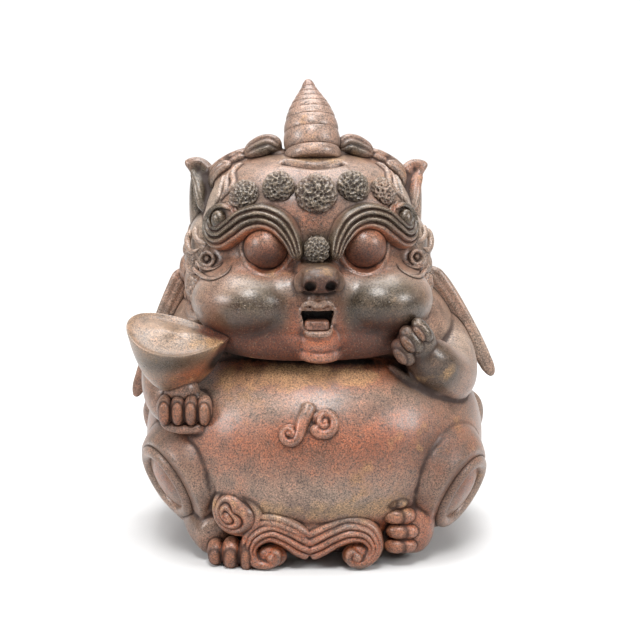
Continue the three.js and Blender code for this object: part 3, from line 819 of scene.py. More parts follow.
def cloud_forms():
    """Two ridged waves roll out from the middle and curl in, and a large curl lies on the right foot."""
    left = [
        (-1.8, 9.6, 6.4), (2, 11.4, 6.2), (8, 14.4, 5.8), (14.8, 16.6, 6), (21.8, 14.8, 4.8),
        (24.8, 9.4, 3.3), (22.6, 4.4, 2.4), (18.4, 2.6, 2), (14.8, 4.2, 1.8), (14.8, 7.2, 1.6),
        (17.6, 8.2, 1.2),
    ]
    right = [
        (-0.2, 9.6, 6.4), (-4, 11.4, 6.2), (-9.8, 14.4, 5.4), (-16.7, 16.4, 5.2), (-23.2, 12.8, 4.4),
        (-25, 7.6, 3.1), (-22.8, 3.4, 2.2), (-18, 2.2, 1.9), (-14.2, 4.2, 1.7), (-13.8, 7, 1.5),
        (-16.4, 8.2, 1.1),
    ]
    forms = []
    for route, core in ((left, (17.6, 5.6)), (right, (-16, 5.2))):
        line = [(x, -63.6 + abs(x) * 0.05 - 0.25 * max(0, k - 4) + 1.2 * max(0, 1 - k), z)
                for k, (x, z, _) in enumerate(route)]
        fine = line_through(line)
        share = shares_of(fine)[np.linspace(0, len(fine) - 1, len(line)).astype(int)]
        widths = [w for _, _, w in route]
        forms.append(ridged(line, lambda t, s=share, w=widths: np.interp(t, s, w), between(4.4, 3.2), 4,
                            depth=0.6, start=0.012, end=0.05, sink=4, segments=112, rings=170))
        forms.append(blob((core[0], -65, core[1]), (2.2, 2.4, 2.2)))
        forms.append(blob((core[0], -62, core[1]), (6, 3.4, 4.6)))
    forms.append(snail(
        (-29.4, -60.6, 24), (-0.3, -1, 0.1), 10.6, 3.5, 20, -1, groove=0.55, lean=(-0.6, -0.25),
        segments=128, rings=144,
    ))
    forms.append(ridged([(-22.6, -62.2, 20.4), (-15.4, -64.2, 20.8), (-8, -65.2, 18.4), (-1.4, -64.4, 13.8)],
                        lambda t: 3.4 - t, between(3, 2.6), 2, depth=0.5, segments=72))
    return forms


def horn_form(sizes):
    """A fat ogive of soft ribs over two thick rings, leaning back."""
    length, radius = sizes.horn_length * 1000, sizes.horn_radius * 1000
    creases = np.array([0, 0.155, 0.36, 0.51, 0.61, 0.69, 0.76, 0.83, 0.9, 1])
    outline = [(0, 0.97), (0.06, 1.0), (0.15, 0.98), (0.3, 0.98), (0.43, 0.94), (0.556, 0.84), (0.68, 0.68),
               (0.8, 0.45), (0.88, 0.29), (0.94, 0.2), (0.98, 0.12), (1, 0.02)]
    piece = ball(96, 200)
    unit = points_of(piece)
    u = np.arccos(np.clip(-unit[:, 2], -1, 1)) / np.pi
    rib = np.clip(np.searchsorted(creases, u, side="right") - 1, 0, len(creases) - 2)
    across = (u - creases[rib]) / (creases[rib + 1] - creases[rib])
    roll = np.clip(1 - np.abs(2 * across - 1) ** 2.6, 0, 1) ** 0.6
    fine = line_through([(a, b, 0) for a, b in outline])
    crease = np.interp(u, [0, 0.2, 0.4, 0.9, 1], [1.4, 0.9, 0.45, 0.25, 0])
    reach = np.interp(u, fine[:, 0], fine[:, 1]) * radius - crease * (1 - roll)
    reach = np.maximum(reach, 0) * np.sqrt(np.clip(u / 0.012, 0, 1))
    angle = np.arctan2(unit[:, 1], unit[:, 0])
    rows = np.column_stack([np.cos(angle) * reach, np.sin(angle) * reach, u * length])
    put_points(piece, turned(rows, (-math.degrees(sizes.horn_lean), -2, 0)) + (1.3, -20, 158.2))
    return piece


def pitted_knob(at, normal, radius, seed):
    """A low round knob with a close net of tooled pits."""
    piece = ball(132, 92)
    unit = points_of(piece)
    chance = np.random.default_rng(seed)
    count = int(15 * radius)
    k = np.arange(count) + 0.5
    polar, swing = np.arccos(1 - 1.15 * k / count), np.pi * (1 + 5**0.5) * k
    spots = np.column_stack([np.cos(swing) * np.sin(polar), np.sin(swing) * np.sin(polar), np.cos(polar)])
    spots += chance.normal(0, 0.05, spots.shape)
    gaps = np.linalg.norm(unit[:, None] - spots[None], axis=2)
    nearest = np.argmin(gaps, 1)
    width = chance.uniform(0.1, 0.145, count)[nearest] * (7 / radius) ** 0.5
    depth = chance.uniform(0.09, 0.15, count)[nearest]
    pit = np.exp(-(gaps.min(1) / width) ** 4 * 1.2)
    swell = 1 + 0.03 * chance.normal(0, 1, count)[nearest]
    rows = unit * ((swell - depth * pit) * radius)[:, None] * (1, 1, 0.68)
    return put_points(piece, faced(rows, at, normal))


def knob_forms(sizes):
    radius = sizes.knob_radius * 1000
    forms = []
    row = [(0.6, 147.4, 1), (15.5, 149.9, 0.82), (-14, 149.9, 0.8), (28.2, 147.6, 0.7), (-27.6, 146.6, 0.76)]
    for seed, (x, z, share) in enumerate(row):
        at = on_front(CRANIUM, x, z, 0.6)
        forms.append(pitted_knob(at, (at[0] * 0.7, at[1], (z - 128) * 0.7), radius * share, seed))
    forms.append(pitted_knob((0.4, -53.6, 126.2), (0, -1, 0.1), radius * 0.64, 11))
    return forms


def eye_forms(sizes):
    radius = sizes.eye_radius * 1000
    return shifted(twin(blob(EYE_AT, (radius, radius, radius), segments=72, rings=48)), "eyes")


def tooth_form():
    return blob((0, -55.4, 96.8), (4.9, 4.4, 2.5), 4, segments=48, rings=32)


# Handing the pieces over: metres, the head's turn, and where each piece belongs


def head_pose(sizes):
    return Matrix.Translation(Vector(HEAD_AT)) @ Matrix.Rotation(sizes.head_turn, 4, "Z")


def handed_over(piece, pose=None, triangles=0):
    """Turns the piece to its place, trims what is below the ground, and brings it to metres."""
    if pose is not None:
        piece.data.transform(pose)
    piece.data.transform(Matrix.Translation(Vector(FIGURE_SHIFT)))
    with editing(piece):
        bpy.ops.mesh.remove_doubles(threshold=0.001)
        bpy.ops.mesh.normals_make_consistent(inside=False)
    if points_of(piece)[:, 2].min() < 0:
        with editing(piece):
            bpy.ops.mesh.bisect(plane_co=(0, 0, 0.02), plane_no=(0, 0, 1), use_fill=True, clear_inner=True)
    if triangles:
        thinned(piece, triangles)
    bpy.ops.object.shade_smooth_by_angle(angle=math.radians(50))
    piece.scale = (0.001, 0.001, 0.001)
    bpy.ops.object.transform_apply(location=True, rotation=True, scale=True)
    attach(piece, "root")
    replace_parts(piece, "qilin_figure")
    return piece


# Wood firing: where ash, flame and dust have marked the clay, and where shade and highlights are painted on
# it


def spot(rows, at, size, strength=1.0):
    return strength * np.exp(-(((rows - np.array(at)) / np.array(size)) ** 2).sum(1))


def along(rows, points, radius, strength=1.0):
    """A mark that follows a line."""
    gap = np.full(len(rows), np.inf)
    for place in line_through(points, 6):
        gap = np.minimum(gap, ((rows - place) ** 2).sum(1))
    return strength * np.exp(-gap / radius**2)


def both_sides(rows):
    return np.column_stack([np.abs(rows[:, 0]), rows[:, 1], rows[:, 2]])


# Lines along which marks are laid. The chin line lays painted shade under the jaw, the neck line painted
# shade in the gap under the jaw, and the ingot line painted shade under the ingot's rim.
BROW_LINE = (
    (7.4, -54, 124.6), (14, -50.5, 136.2), (20.4, -49.4, 138.6), (26.8, -46.4, 137.2), (32.2, -41.4, 133.2),
    (37.2, -36, 129.6), (41.4, -28, 129.2), (43, -28, 134.6), (39.8, -32.8, 139),
)
LID_LINE = ((9, -55, 122), (13, -51, 130.6), (20, -50, 133.4), (28, -46, 130.8), (36, -38, 125.6))
JAW_LINE = ((-38, -47, 89), (-22, -54, 88), (-8, -56, 88), (8, -56, 88), (22, -54, 88), (38, -47, 89))
CHIN_LINE = ((-40, -45, 89), (-22, -54, 87), (0, -48, 84), (22, -54, 87), (40, -45, 89))
NECK_LINE = (
    (-46, -34, 83), (-30, -41, 82.5), (-10, -46, 82), (10, -47, 81.5), (30, -44, 81.5), (46, -36, 82.5),
)
INGOT_LINE = (
    (-74.6, -60, 91), (-70, -66, 85.6), (-60, -71, 81), (-48, -72, 81), (-40, -70, 85.6), (-36, -66, 89),
)


# The marks read points in the figure's frame, in the head's, and in the head's with x made positive.
def ash_marks(figure, head, mirror):
    knobs = ((0.6, 147.6), (15.5, 150), (-14, 150), (-27.6, 147), (0.4, 126.6))
    return [
        spot(head, (25, -57, 102), (15, 18, 13), 1.6),
        spot(head, (-25, -57, 101.6), (14.5, 18, 11.5), 1.6),
        along(mirror - (0, 0, 1.2), BROW_LINE, 3.8, 1.6),
        spot(head, (0.9, -65, 115.4), (8, 6, 5), 1.6),
        spot(head, (-45.4, -4, 147), (6, 10, 13), 1.5),
        spot(mirror, (18, -17, 164), (8, 8, 4), 0.9),
        spot(mirror, (43.6, -31, 121), (4, 5, 4), 0.9),
        spot(mirror, (37.4, -34, 136), (4, 6, 5), 1.3),
        spot(figure, (40, -54, 89.5), (11, 10, 11), 1.5),
        spot(figure, (47, -46, 77), (12, 12, 9), 1.5),
        spot(figure, (-50, -50, 42), (7, 12, 8), 0.6),
        spot(figure, (47, -52, 46), (7, 12, 8), 0.55),
        spot(figure, (12, -56, 76), (32, 16, 4), 0.4),
        spot(figure, (-44, -52, 16), (9, 12, 6), 0.5),
        spot(figure, (-54, -66, 83), (22, 12, 5), 0.7),
        spot(figure, (40, -56, 29), (12, 8, 4), 0.5),
        *(spot(head, (x, -50, z), (6.5, 14, 6.5), 1.5) for x, z in knobs),
    ]


def flame_marks(figure, head, mirror):
    return [
        along(head, JAW_LINE, 7, 1.2),
        spot(mirror, (9.2, -57, 99), (2.6, 5, 10), 0.7),
        spot(mirror, (36, -46, 94), (8, 12, 6), 0.7),
        spot(mirror, (19.4, -50, 120), (10, 9, 6), 1.0),
        spot(head, (45, -4, 148), (6, 10, 12), 0.6),
        spot(head, (0, -44, 138), (7, 8, 8), 0.7),
        spot(mirror, (32.6, -42, 140), (5, 7, 4), 0.7),
        along(mirror, LID_LINE, 2.8, 1.2),
        spot(mirror, (44, -30, 112), (5, 8, 7), 0.5),
        spot(figure, (0, -50, 77), (44, 18, 6), 1.6),
        spot(figure, (8, -68, 51), (50, 20, 12), 0.6),
        spot(figure, (34, -66, 57), (26, 20, 10), 0.4),
        spot(figure, (-30, -60, 50), (14, 14, 12), 0.4),
        spot(figure, (62, -42, 32), (8, 9, 14), 0.8),
        spot(figure, (-63, -42, 32), (7, 9, 14), 0.8),
        spot(figure, (38, -58, 14), (13, 10, 13), 1.2),
        spot(figure, (-30, -60, 5), (14, 10, 7), 0.9),
        spot(figure, (0, -66, 9), (34, 9, 9), 1.1),
        spot(figure, (-30, -64, 23), (9, 8, 8), 0.9),
        spot(figure, (-9, -72, 57), (7, 6, 6), 1.0),
        spot(figure, (5, -72, 61), (7, 6, 6), 0.7),
        spot(figure, (-52, -56, 61), (12, 8, 9), 0.6),
        spot(figure, (-74, 8, 60), (7, 9, 14), 0.6),
        spot(figure, (-44, -62, 76), (10, 9, 8), 0.8),
    ]


def dust_marks(figure, head, mirror):
    return [
        spot(figure, (-38, -62, 91), (9, 8, 4), 1.1),
        spot(head, (0, -22, 159.5), (15, 12, 2.2), 0.8),
        spot(figure, (0, -64, 25), (44, 16, 4.6), 0.75),
        spot(mirror, (20, -48, 115.6), (9, 6, 1.6), 0.6),
        spot(figure, (0, -55, 76), (46, 14, 4.4), 1.2),
    ]


# Painted shade: the gap under the jaw, the line under the ingot's rim, inside the mouth and nostrils, and
# where the ingot's end meets the belly.
def painted_shade_marks(figure, head, mirror):
    return [
        along(figure, NECK_LINE, 2.4, 1.6),
        along(figure, INGOT_LINE, 1.1, 1.0),
        spot(head, (0.2, -51, 100.4), (6.6, 6.6, 3.4), 1.5),
        spot(both_sides(head - (0.9, 0, 0)), (4.2, -60.5, 113), (2.1, 4, 1.9), 1.4),
        spot(figure, (-36, -52, 82), (9, 7, 6), 1.1),
    ]


def pale_and_highlight_marks(figure, head, mirror):
    """Where the clay is pale beige, with painted highlights on the forehead, the tops of the cheeks and eyes,
    the upper belly and the ingot's top.
    """
    return [
        spot(head, (0, -34, 156), (40, 16, 8), 0.3),
        spot(mirror, (40, -22, 144), (8, 16, 12), 1.0),
        spot(mirror, (47, -14, 118), (8, 18, 20), 0.5),
        spot(mirror, (26, -56, 112.6), (16, 10, 6), 1.1),
        spot(mirror, (43, -34, 103), (7, 14, 12), 0.8),
        spot(mirror, (44, 2, 140), (8, 12, 12), 1.0),
        spot(mirror, (19.7, -50, 132.6), (8, 7, 4.6), 1.3),
        spot(mirror, (47, -12, 132), (10, 20, 14), 0.6),
        spot(figure, (-30, -52, 70), (20, 20, 9), 0.9),
        spot(figure, (28, -54, 72), (22, 18, 8), 0.6),
        spot(figure, (0, -66, 32), (44, 14, 8), 0.5),
        spot(both_sides(figure), (60, -20, 82), (12, 20, 14), 1.0),
        spot(figure, (74, 8, 78), (8, 12, 30), 0.9),
        spot(figure, (-72, 8, 84), (8, 12, 24), 0.6),
        spot(figure, (-64, -42, 50), (10, 12, 8), 0.4),
        spot(both_sides(figure), (66, -44, 28), (9, 14, 14), 0.7),
        spot(figure, (-54, -58, 92), (20, 16, 4), 0.25),
        spot(head, (0, -14, 178), (12, 12, 12), 0.5),
    ]


def brown_and_shade_marks(figure, head, mirror):
    """Where the clay is a deep brown, partly its own colour and partly painted shade: under the jaw and
    cheeks, on the lower half of each eye, under the ingot and along the foot of the base.
    """
    return [
        along(head, CHIN_LINE, 7.5, 2.2),
        spot(mirror, (19.3, -52, 122.6), (9, 7, 6), 1.0),
        spot(mirror, (25, -60, 97), (14, 12, 6), 0.6),
        spot(head, (0.9, -64, 114), (10, 7, 6), 1.1),
        spot(figure, (5, -70, 50), (60, 20, 14), 0.3),
        spot(figure, (-54, -50, 36), (14, 14, 18), 0.5),
        spot(figure, (52, -50, 36), (16, 14, 18), 0.8),
        spot(figure, (-50, -66, 74), (14, 12, 5), 0.3),
        spot(figure, (-52, -56, 61), (12, 8, 9), 0.5),
        spot(figure, (44, -50, 78), (14, 12, 9), 0.5),
        spot(head, (0, -32, 160), (14, 6, 3), 0.4),
        spot(figure, (0, -60, 6), (70, 20, 8), 0.3),
    ]


def hollows(piece):
    """How far each point lies in a crease and out on an edge, from the mesh set against a softened copy."""
    mesh = piece.data
    rows = points_of(piece) * 1000
    edges = np.empty(len(mesh.edges) * 2, np.int32)
    mesh.edges.foreach_get("vertices", edges)
    a, b = edges.reshape(-1, 2).T
    ends = np.maximum(np.bincount(edges, minlength=len(rows)), 1)

    def softened(values):
        return np.column_stack([
            (np.bincount(a, values[b, k], len(values)) + np.bincount(b, values[a, k], len(values))) / ends
            for k in range(values.shape[1])
        ])

    normals = rows_of(mesh.vertex_normals, "vector")
    step = np.linalg.norm(rows[a] - rows[b], axis=1).mean()
    soft = rows
    depths = []
    for least, reach in ((3, 0.8), (10, 1.6)):
        for _ in range(int(np.clip((reach / step) ** 2, least, 60))):
            soft = softened(soft)
        depths.append(((soft - rows) * normals).sum(1))
    deep = np.clip(depths[0] / 0.12, -1, 1) * 0.6 + np.clip(depths[1] / 0.5, -1, 1) * 0.5
    deep = softened(deep[:, None])[:, 0]
    return np.clip(deep, 0, 1), np.clip(-deep, 0, 1)


def shade_near_pieces(piece, trees, reach=0.65):
    """How close each point is to another piece, in millimetres of reach, for the painted shade where pieces
    meet.
    """
    rows = points_of(piece)
    near = np.zeros(len(rows))
    for name, (tree, low, high) in trees.items():
        if name == piece.name:
            continue
        margin = reach * 0.001 * 1.6
        inside = np.flatnonzero(((rows > low - margin) & (rows < high + margin)).all(1))
        for i in inside:
            _, _, _, gap = tree.find_nearest(rows[i], margin)
            if gap is not None:
                near[i] = max(near[i], math.exp(-((gap * 1000 / reach) ** 2)))
    return near


def marked(piece, trees, pose):
    """Writes the firing marks, the painted shade in creases and gaps with the worn edges, and the pale and
    brown colouring with its painted highlights and shade, of a piece to its mesh.
    """
    figure = points_of(piece) * 1000 - np.array(FIGURE_SHIFT)
    back = np.array(pose.inverted())
    head = figure @ back[:3, :3].T + back[:3, 3]
    crease, edge = hollows(piece)
    # Painted shade: darker in the creases and where a piece lies close against another.
    crease = np.clip(crease + 0.75 * shade_near_pieces(piece, trees), 0, 1)
    ash, flame, dust, painted_shade, pale, brown = (
        np.clip(sum(marks(figure, head, both_sides(head))), 0, 1)
        for marks in (ash_marks, flame_marks, dust_marks, painted_shade_marks, pale_and_highlight_marks, brown_and_shade_marks)
    )
    for name, columns in (
        ("firing", (ash, flame, dust)),
        ("shade_and_wear", (crease, edge, painted_shade)),
        ("tone_highlight_and_shade", (pale, brown, np.zeros(len(pale)))),
    ):
        attribute = piece.data.attributes.new(name, "FLOAT_VECTOR", "POINT")
        attribute.data.foreach_set("vector", np.column_stack(columns).astype(np.float32).ravel())


# Materials

# Deep brown, for the clay's own deep brown and for painted shade under the jaw, the cheeks and the ingot.
DEEP_BROWN_AND_SHADE = (0.05, 0.011, 0.0035, 1)
ASH_SPECK = (0.38, 0.29, 0.19, 1)
IRON_SPOT = (0.03, 0.016, 0.01, 1)

# The pieces with a finish of their own, and what it changes in the fired clay, also the colour of the painted
# shade in their creases
FINISHES = {
    "horn": ("horn_clay", {
        "Clay": (0.19, 0.098, 0.067), "Pale clay and highlight": (0.3, 0.215, 0.165), "Crease shade": (0.06, 0.026, 0.017),
    }),
    "forehead_knobs": ("knob_clay", {
        "Clay": (0.08, 0.027, 0.015), "Pale clay and highlight": (0.26, 0.2, 0.145), "Crease shade": (0.02, 0.006, 0.003),
        "Worn edges": 0.5,
    }),
    "brows": ("brow_clay", {
        "Clay": (0.12, 0.037, 0.018), "Pale clay and highlight": (0.25, 0.18, 0.125), "Crease shade": (0.03, 0.008, 0.003),
    }),
    # The eyes' pale clay also paints the highlight on their tops.
    "eyes": ("eye_clay", {
        "Clay": (0.13, 0.044, 0.024), "Pale clay and highlight": (0.2, 0.105, 0.066), "Flame amount": 0.5,
        "Ash amount": 0.0, "Speck amount": 0.05,
    }),
    "ingot": ("ingot_clay", {"Clay": (0.2, 0.12, 0.072), "Pale clay and highlight": (0.25, 0.185, 0.135)}),
}


def node(tree, kind, inputs=None, **settings):
    made = tree.nodes.new(kind)
    for name, value in settings.items():
        setattr(made, name, value)
    for name, value in (inputs or {}).items():
        if isinstance(value, bpy.types.NodeSocket):
            tree.links.new(value, made.inputs[name])
        else:
            made.inputs[name].default_value = value
    return made


def group(name, inputs, outputs):
    """An empty shader node group with its sockets, its inputs' values and its output node."""
    tree = bpy.data.node_groups.new(name, "ShaderNodeTree")
    for label, kind, default in inputs:
        socket = tree.interface.new_socket(label, in_out="INPUT", socket_type=f"NodeSocket{kind}")
        if default is not None:
            socket.default_value = default
    for label, kind in outputs:
        tree.interface.new_socket(label, in_out="OUTPUT", socket_type=f"NodeSocket{kind}")
    return tree, tree.nodes.new("NodeGroupInput").outputs, tree.nodes.new("NodeGroupOutput").inputs


def arithmetic(tree):
    """Adding, subtracting, multiplying and taking the larger of two values, each as a node."""

    def maker(operation):
        def made(a, b, clamp=False):
            inputs = {0: a, 1: b}
            return node(tree, "ShaderNodeMath", inputs, operation=operation, use_clamp=clamp).outputs[0]

        return made

    return [maker(operation) for operation in ("ADD", "SUBTRACT", "MULTIPLY", "MAXIMUM")]


def ranged(tree, value, low, high, to_low=0.0, to_high=1.0):
    inputs = {"Value": value, "From Min": low, "From Max": high, "To Min": to_low, "To Max": to_high}
    return node(tree, "ShaderNodeMapRange", inputs).outputs[0]


def blended(tree, share, a, b, mode="MIX"):
    made = node(tree, "ShaderNodeMix", {0: share, 6: a, 7: b}, data_type="RGBA", blend_type=mode)
    return made.outputs[2]


def noise(tree, where, size_mm, detail=2.0, rough=0.5, seed=0.0):
    inputs = {"Vector": where, "W": seed, "Scale": 1000 / size_mm, "Detail": detail, "Roughness": rough}
    return node(tree, "ShaderNodeTexNoise", inputs, noise_dimensions="4D").outputs["Fac"]


def kiln_flash_group():
    """Broad and fine drifts of colour that the kiln leaves on bare clay."""
    tree, given, result = group(
        "kiln_flash", [("Vector", "Vector", None)],
        [("Drift", "Float"), ("Mottle", "Float")],
    )
    broad = noise(tree, given["Vector"], 34, 3, 0.55, 2.0)
    fine = noise(tree, given["Vector"], 5.5, 4, 0.6, 7.0)
    tree.links.new(ranged(tree, broad, 0.36, 0.66), result["Drift"])
    tree.links.new(ranged(tree, fine, 0.34, 0.68), result["Mottle"])
    return tree


def grit_group():
    """Ash specks, iron spots and the open grain of the clay."""
    tree, given, result = group(
        "grit", [("Vector", "Vector", None)],
        [("Speck", "Float"), ("Iron", "Float"), ("Grain", "Float")],
    )
    where = given["Vector"]
    speck = noise(tree, where, 0.6, 1, 0.6, 1.0)
    iron = noise(tree, where, 1.1, 1, 0.5, 5.0)
    grain = noise(tree, where, 0.6, 3, 0.7, 9.0)
    tree.links.new(ranged(tree, speck, 0.6, 0.7), result["Speck"])
    tree.links.new(ranged(tree, iron, 0.64, 0.72), result["Iron"])
    tree.links.new(grain, result["Grain"])
    return tree


def marks_named(tree, name):
    """The three marks that are kept together in one attribute."""
    held = node(tree, "ShaderNodeAttribute", attribute_name=name).outputs["Vector"]
    return node(tree, "ShaderNodeSeparateXYZ", {0: held}).outputs


def fired_surface_group(flash, grit):
    """The clay's colour, with its painted shade and highlights, gloss, metal sheen and height from its marks,
    with named colours for each.
    """
    colours = ("Clay", "Pale clay and highlight", "Ash", "Flame", "Dust", "Crease shade", "Painted shade")
    amounts = (("Ash amount", 1.0), ("Flame amount", 1.0), ("Speck amount", 0.16), ("Worn edges", 0.35))
    tree, given, result = group(
        "fired_surface",
        [(name, "Color", None) for name in colours] + [(name, "Float", amount) for name, amount in amounts],
        [("Color", "Color")] + [(name, "Float") for name in ("Roughness", "Metallic", "Coat", "Height")],
    )
    plus, minus, times, most = arithmetic(tree)
    where = node(tree, "ShaderNodeTexCoord").outputs["Object"]
    drifts = node(tree, "ShaderNodeGroup", {}, node_tree=flash)
    tree.links.new(where, drifts.inputs["Vector"])
    grits = node(tree, "ShaderNodeGroup", {}, node_tree=grit)
    tree.links.new(where, grits.inputs["Vector"])
    drift, mottle = (drifts.outputs[name] for name in ("Drift", "Mottle"))
    speck, iron, grain = (grits.outputs[name] for name in ("Speck", "Iron", "Grain"))
    ash, flame, dust = marks_named(tree, "firing")
    crease, edge, painted_shade = marks_named(tree, "shade_and_wear")
    pale, brown, _ = marks_named(tree, "tone_highlight_and_shade")

    # Each mark is broken up by the mottle, so that it ends raggedly.
    ragged = times(minus(plus(mottle, drift), 1.0), 0.4)
    dotted = plus(ragged, times(minus(grain, 0.5), 1.1))
    ash = times(ranged(tree, plus(ash, dotted), 0.2, 0.85), given["Ash amount"], True)
    flame = times(ranged(tree, plus(flame, dotted), 0.12, 0.95), given["Flame amount"], True)
    dust = ranged(tree, plus(dust, times(ragged, 1.6)), 0.3, 0.7)
    pale = plus(times(drift, 0.5), times(pale, 0.7), True)
    brown = ranged(tree, plus(brown, times(ragged, 0.6)), 0.1, 0.9)
    crease = ranged(tree, crease, 0.14, 0.8)
    painted_shade = ranged(tree, painted_shade, 0.25, 0.8)

    # The colours lie over one another in this order.
    color = given["Clay"]
    for share, layer in (
        # paler clay, with painted highlights on the cheeks, eyes, forehead and upper belly
        (pale, given["Pale clay and highlight"]),
        (times(flame, 0.9), given["Flame"]),
        (times(ash, 0.92), given["Ash"]),
        (times(edge, given["Worn edges"]), given["Pale clay and highlight"]),
        # deep brown clay, with painted shade under the jaw, cheeks and ingot
        (times(brown, 0.85), DEEP_BROWN_AND_SHADE),
        (times(speck, given["Speck amount"]), ASH_SPECK),
        (times(iron, 0.5), IRON_SPOT),
        (times(dust, 0.5), given["Dust"]),
    ):
        color = blended(tree, share, color, layer)
    salt = times(ranged(tree, grain, 0.36, 0.64, 0.2, 1.7), ranged(tree, mottle, 0, 1, 0.62, 1.25))
    grey = node(tree, "ShaderNodeCombineXYZ", {0: salt, 1: salt, 2: salt}).outputs[0]
    color = blended(tree, 1.0, color, grey, "MULTIPLY")
    # Painted shade in the creases and where pieces meet.
    color = blended(tree, times(crease, 0.9), color, given["Crease shade"])
    # Painted shade, black brown, in the gap under the jaw, in the mouth and nostrils, and under the ingot's
    # rim.
    color = blended(tree, painted_shade, color, given["Painted shade"])

    gloss = minus(0.34, times(ash, 0.12))
    gloss = plus(gloss, times(mottle, 0.12))
    gloss = plus(gloss, times(minus(grain, 0.5), 0.5))
    gloss = plus(gloss, times(dust, 0.3), True)
    gloss = plus(gloss, times(most(crease, brown), 0.35), True)
    open_clay = minus(1.0, most(most(crease, painted_shade), brown), True)
    for name, socket in (
        ("Color", color),
        ("Roughness", gloss),
        ("Metallic", times(ash, times(open_clay, 0.25))),
        ("Coat", times(open_clay, 0.35)),
        ("Height", minus(plus(times(grain, 0.5), times(speck, 0.5)), times(iron, 0.6))),
    ):
        tree.links.new(socket, result[name])
    return tree


def fired_material(name, surface, colours, changes):
    """Fired clay whose colours and amounts differ from one finish to the next."""
    material = bpy.data.materials.new(name)
    material.use_nodes = True
    tree = material.node_tree
    shader = tree.nodes["Principled BSDF"]
    made = node(tree, "ShaderNodeGroup", {}, node_tree=surface)
    values = {
        "Clay": colours.clay, "Pale clay and highlight": colours.pale_clay_and_highlight, "Ash": colours.ash, "Flame": colours.flame,
        "Dust": colours.dust, "Crease shade": colours.crease, "Painted shade": colours.painted_shade, **changes,
    }
    for label, value in values.items():
        made.inputs[label].default_value = value if isinstance(value, float) else (*value[:3], 1)
    inputs = {"Strength": 0.6, "Distance": 0.0004, "Height": made.outputs["Height"]}
    bump = node(tree, "ShaderNodeBump", inputs)
    for output, label in (
        (made.outputs["Color"], "Base Color"),
        (made.outputs["Roughness"], "Roughness"),
        (made.outputs["Metallic"], "Metallic"),
        (made.outputs["Coat"], "Coat Weight"),
        (bump.outputs["Normal"], "Normal"),
    ):
        tree.links.new(output, shader.inputs[label])
    shader.inputs["Specular IOR Level"].default_value = 0.45
    shader.inputs["Coat Roughness"].default_value = 0.28
    return material


# Settings


def length(name, description, default):
    return bpy.props.FloatProperty(
        name=name, description=description, default=default, min=0.0001, unit="LENGTH"
    )


def angle(name, description, degrees):
    return bpy.props.FloatProperty(
        name=name, description=description, default=math.radians(degrees), subtype="ANGLE"
    )


def colour(name, description, default):
    return bpy.props.FloatVectorProperty(
        name=name, description=description, default=default, min=0, max=1, size=3, subtype="COLOR"
    )


class QilinSizes(bpy.types.PropertyGroup):
    head_turn: angle("Head turn", "How far the face is turned to the figure's left", 4.4)
    horn_lean: angle("Horn lean", "How far the horn leans back", 20)
    horn_length: length("Horn length", "From the brow to the horn's tip", 0.0362)
    horn_radius: length("Horn radius", "At the horn's base", 0.0118)
    eye_radius: length("Eye radius", "Of each eyeball", 0.009)
    knob_radius: length("Knob radius", "Of the middle forehead knob", 0.0081)
    ingot_length: length("Ingot length", "From the blunt end to the point", 0.041)
    ingot_depth: length("Ingot depth", "Across the leaf-shaped rim", 0.027)
    ingot_height: length("Ingot height", "From the keel to the rim", 0.0245)
    body_grain: length("Body grain", "The skin's mesh size on the belly and limbs", 0.00075)
    head_grain: length("Head grain", "The skin's mesh size on the head", 0.0005)


class QilinColours(bpy.types.PropertyGroup):
    clay: colour("Clay", "Reddish brown fired clay", (0.155, 0.056, 0.027))
    # Also the colour of the painted highlights on the forehead, cheeks, eyes and upper belly.
    pale_clay_and_highlight: colour("Pale clay and highlight", "Paler beige drifts and worn edges", (0.278, 0.21, 0.16))
    ash: colour("Ash", "Olive grey patches with a metallic sheen", (0.032, 0.024, 0.013))
    flame: colour("Flame", "Orange red flashing", (0.26, 0.06, 0.016))
    nail: colour("Nail", "Deep red brown nails", (0.22, 0.062, 0.026))
    dust: colour("Dust", "Yellow ash crust", (0.32, 0.2, 0.095))
    # Painted shade in the creases, the knobs' pits and where pieces meet.
    crease: colour("Crease shade", "Dark red brown in the creases", (0.018, 0.0055, 0.0025))
    # Painted shade in the gap under the jaw, in the mouth and nostrils, and under the ingot's rim.
    painted_shade: colour("Painted shade", "Black brown where smoke has gathered", (0.01, 0.005, 0.003))


# Operators, one for each piece or group of like pieces


# The paper behind the figure and the camera, in metres, radians, and pixels of the photograph
PAPER_BEND = 1.2
PAPER_RADIUS = 0.6
CAMERA_AIM = (0.003, 0, 0.09)
CAMERA_AWAY = 0.62
CAMERA_RAISED = math.radians(9)
SENSOR_WIDTH = 36
FOCAL_PIXELS = 1442
PICTURE_PIXELS = 640


class Build(bpy.types.Operator):
    """Shared by the operators, each of which can be undone"""

    bl_options = {"REGISTER", "UNDO"}


class QILIN_OT_trunk(Build):
    """Model the belly, shoulders, limbs, haunches and tail as one skin"""

    bl_idname = "qilin.trunk"
    bl_label = "Trunk and limbs"

    def execute(self, context):
        sizes = context.scene.qilin_sizes
        piece = trunk_detail(fused(trunk_forms(), "trunk", sizes.body_grain * 1000, 4))
        handed_over(piece, triangles=190000)
        return {"FINISHED"}


class QILIN_OT_head(Build):
    """Model the skull with its cheeks, muzzle, open mouth, eye rims and ears as one skin"""

    bl_idname = "qilin.head"
    bl_label = "Head"

    def execute(self, context):
        sizes = context.scene.qilin_sizes
        grain = sizes.head_grain * 1000
        skull = fused([skull_forms()], "head", 1.2, 12)
        skull = fused([skull, muzzle_forms()], "head", 0.7, 3)
        rims = eye_rims(sizes, surface_of(skull))
        carved(skull, face_cutters(sizes))
        piece = head_detail(fused([skull, rims, ear_forms()], "head", grain, 2))
        handed_over(piece, head_pose(sizes), triangles=195000)
        return {"FINISHED"}


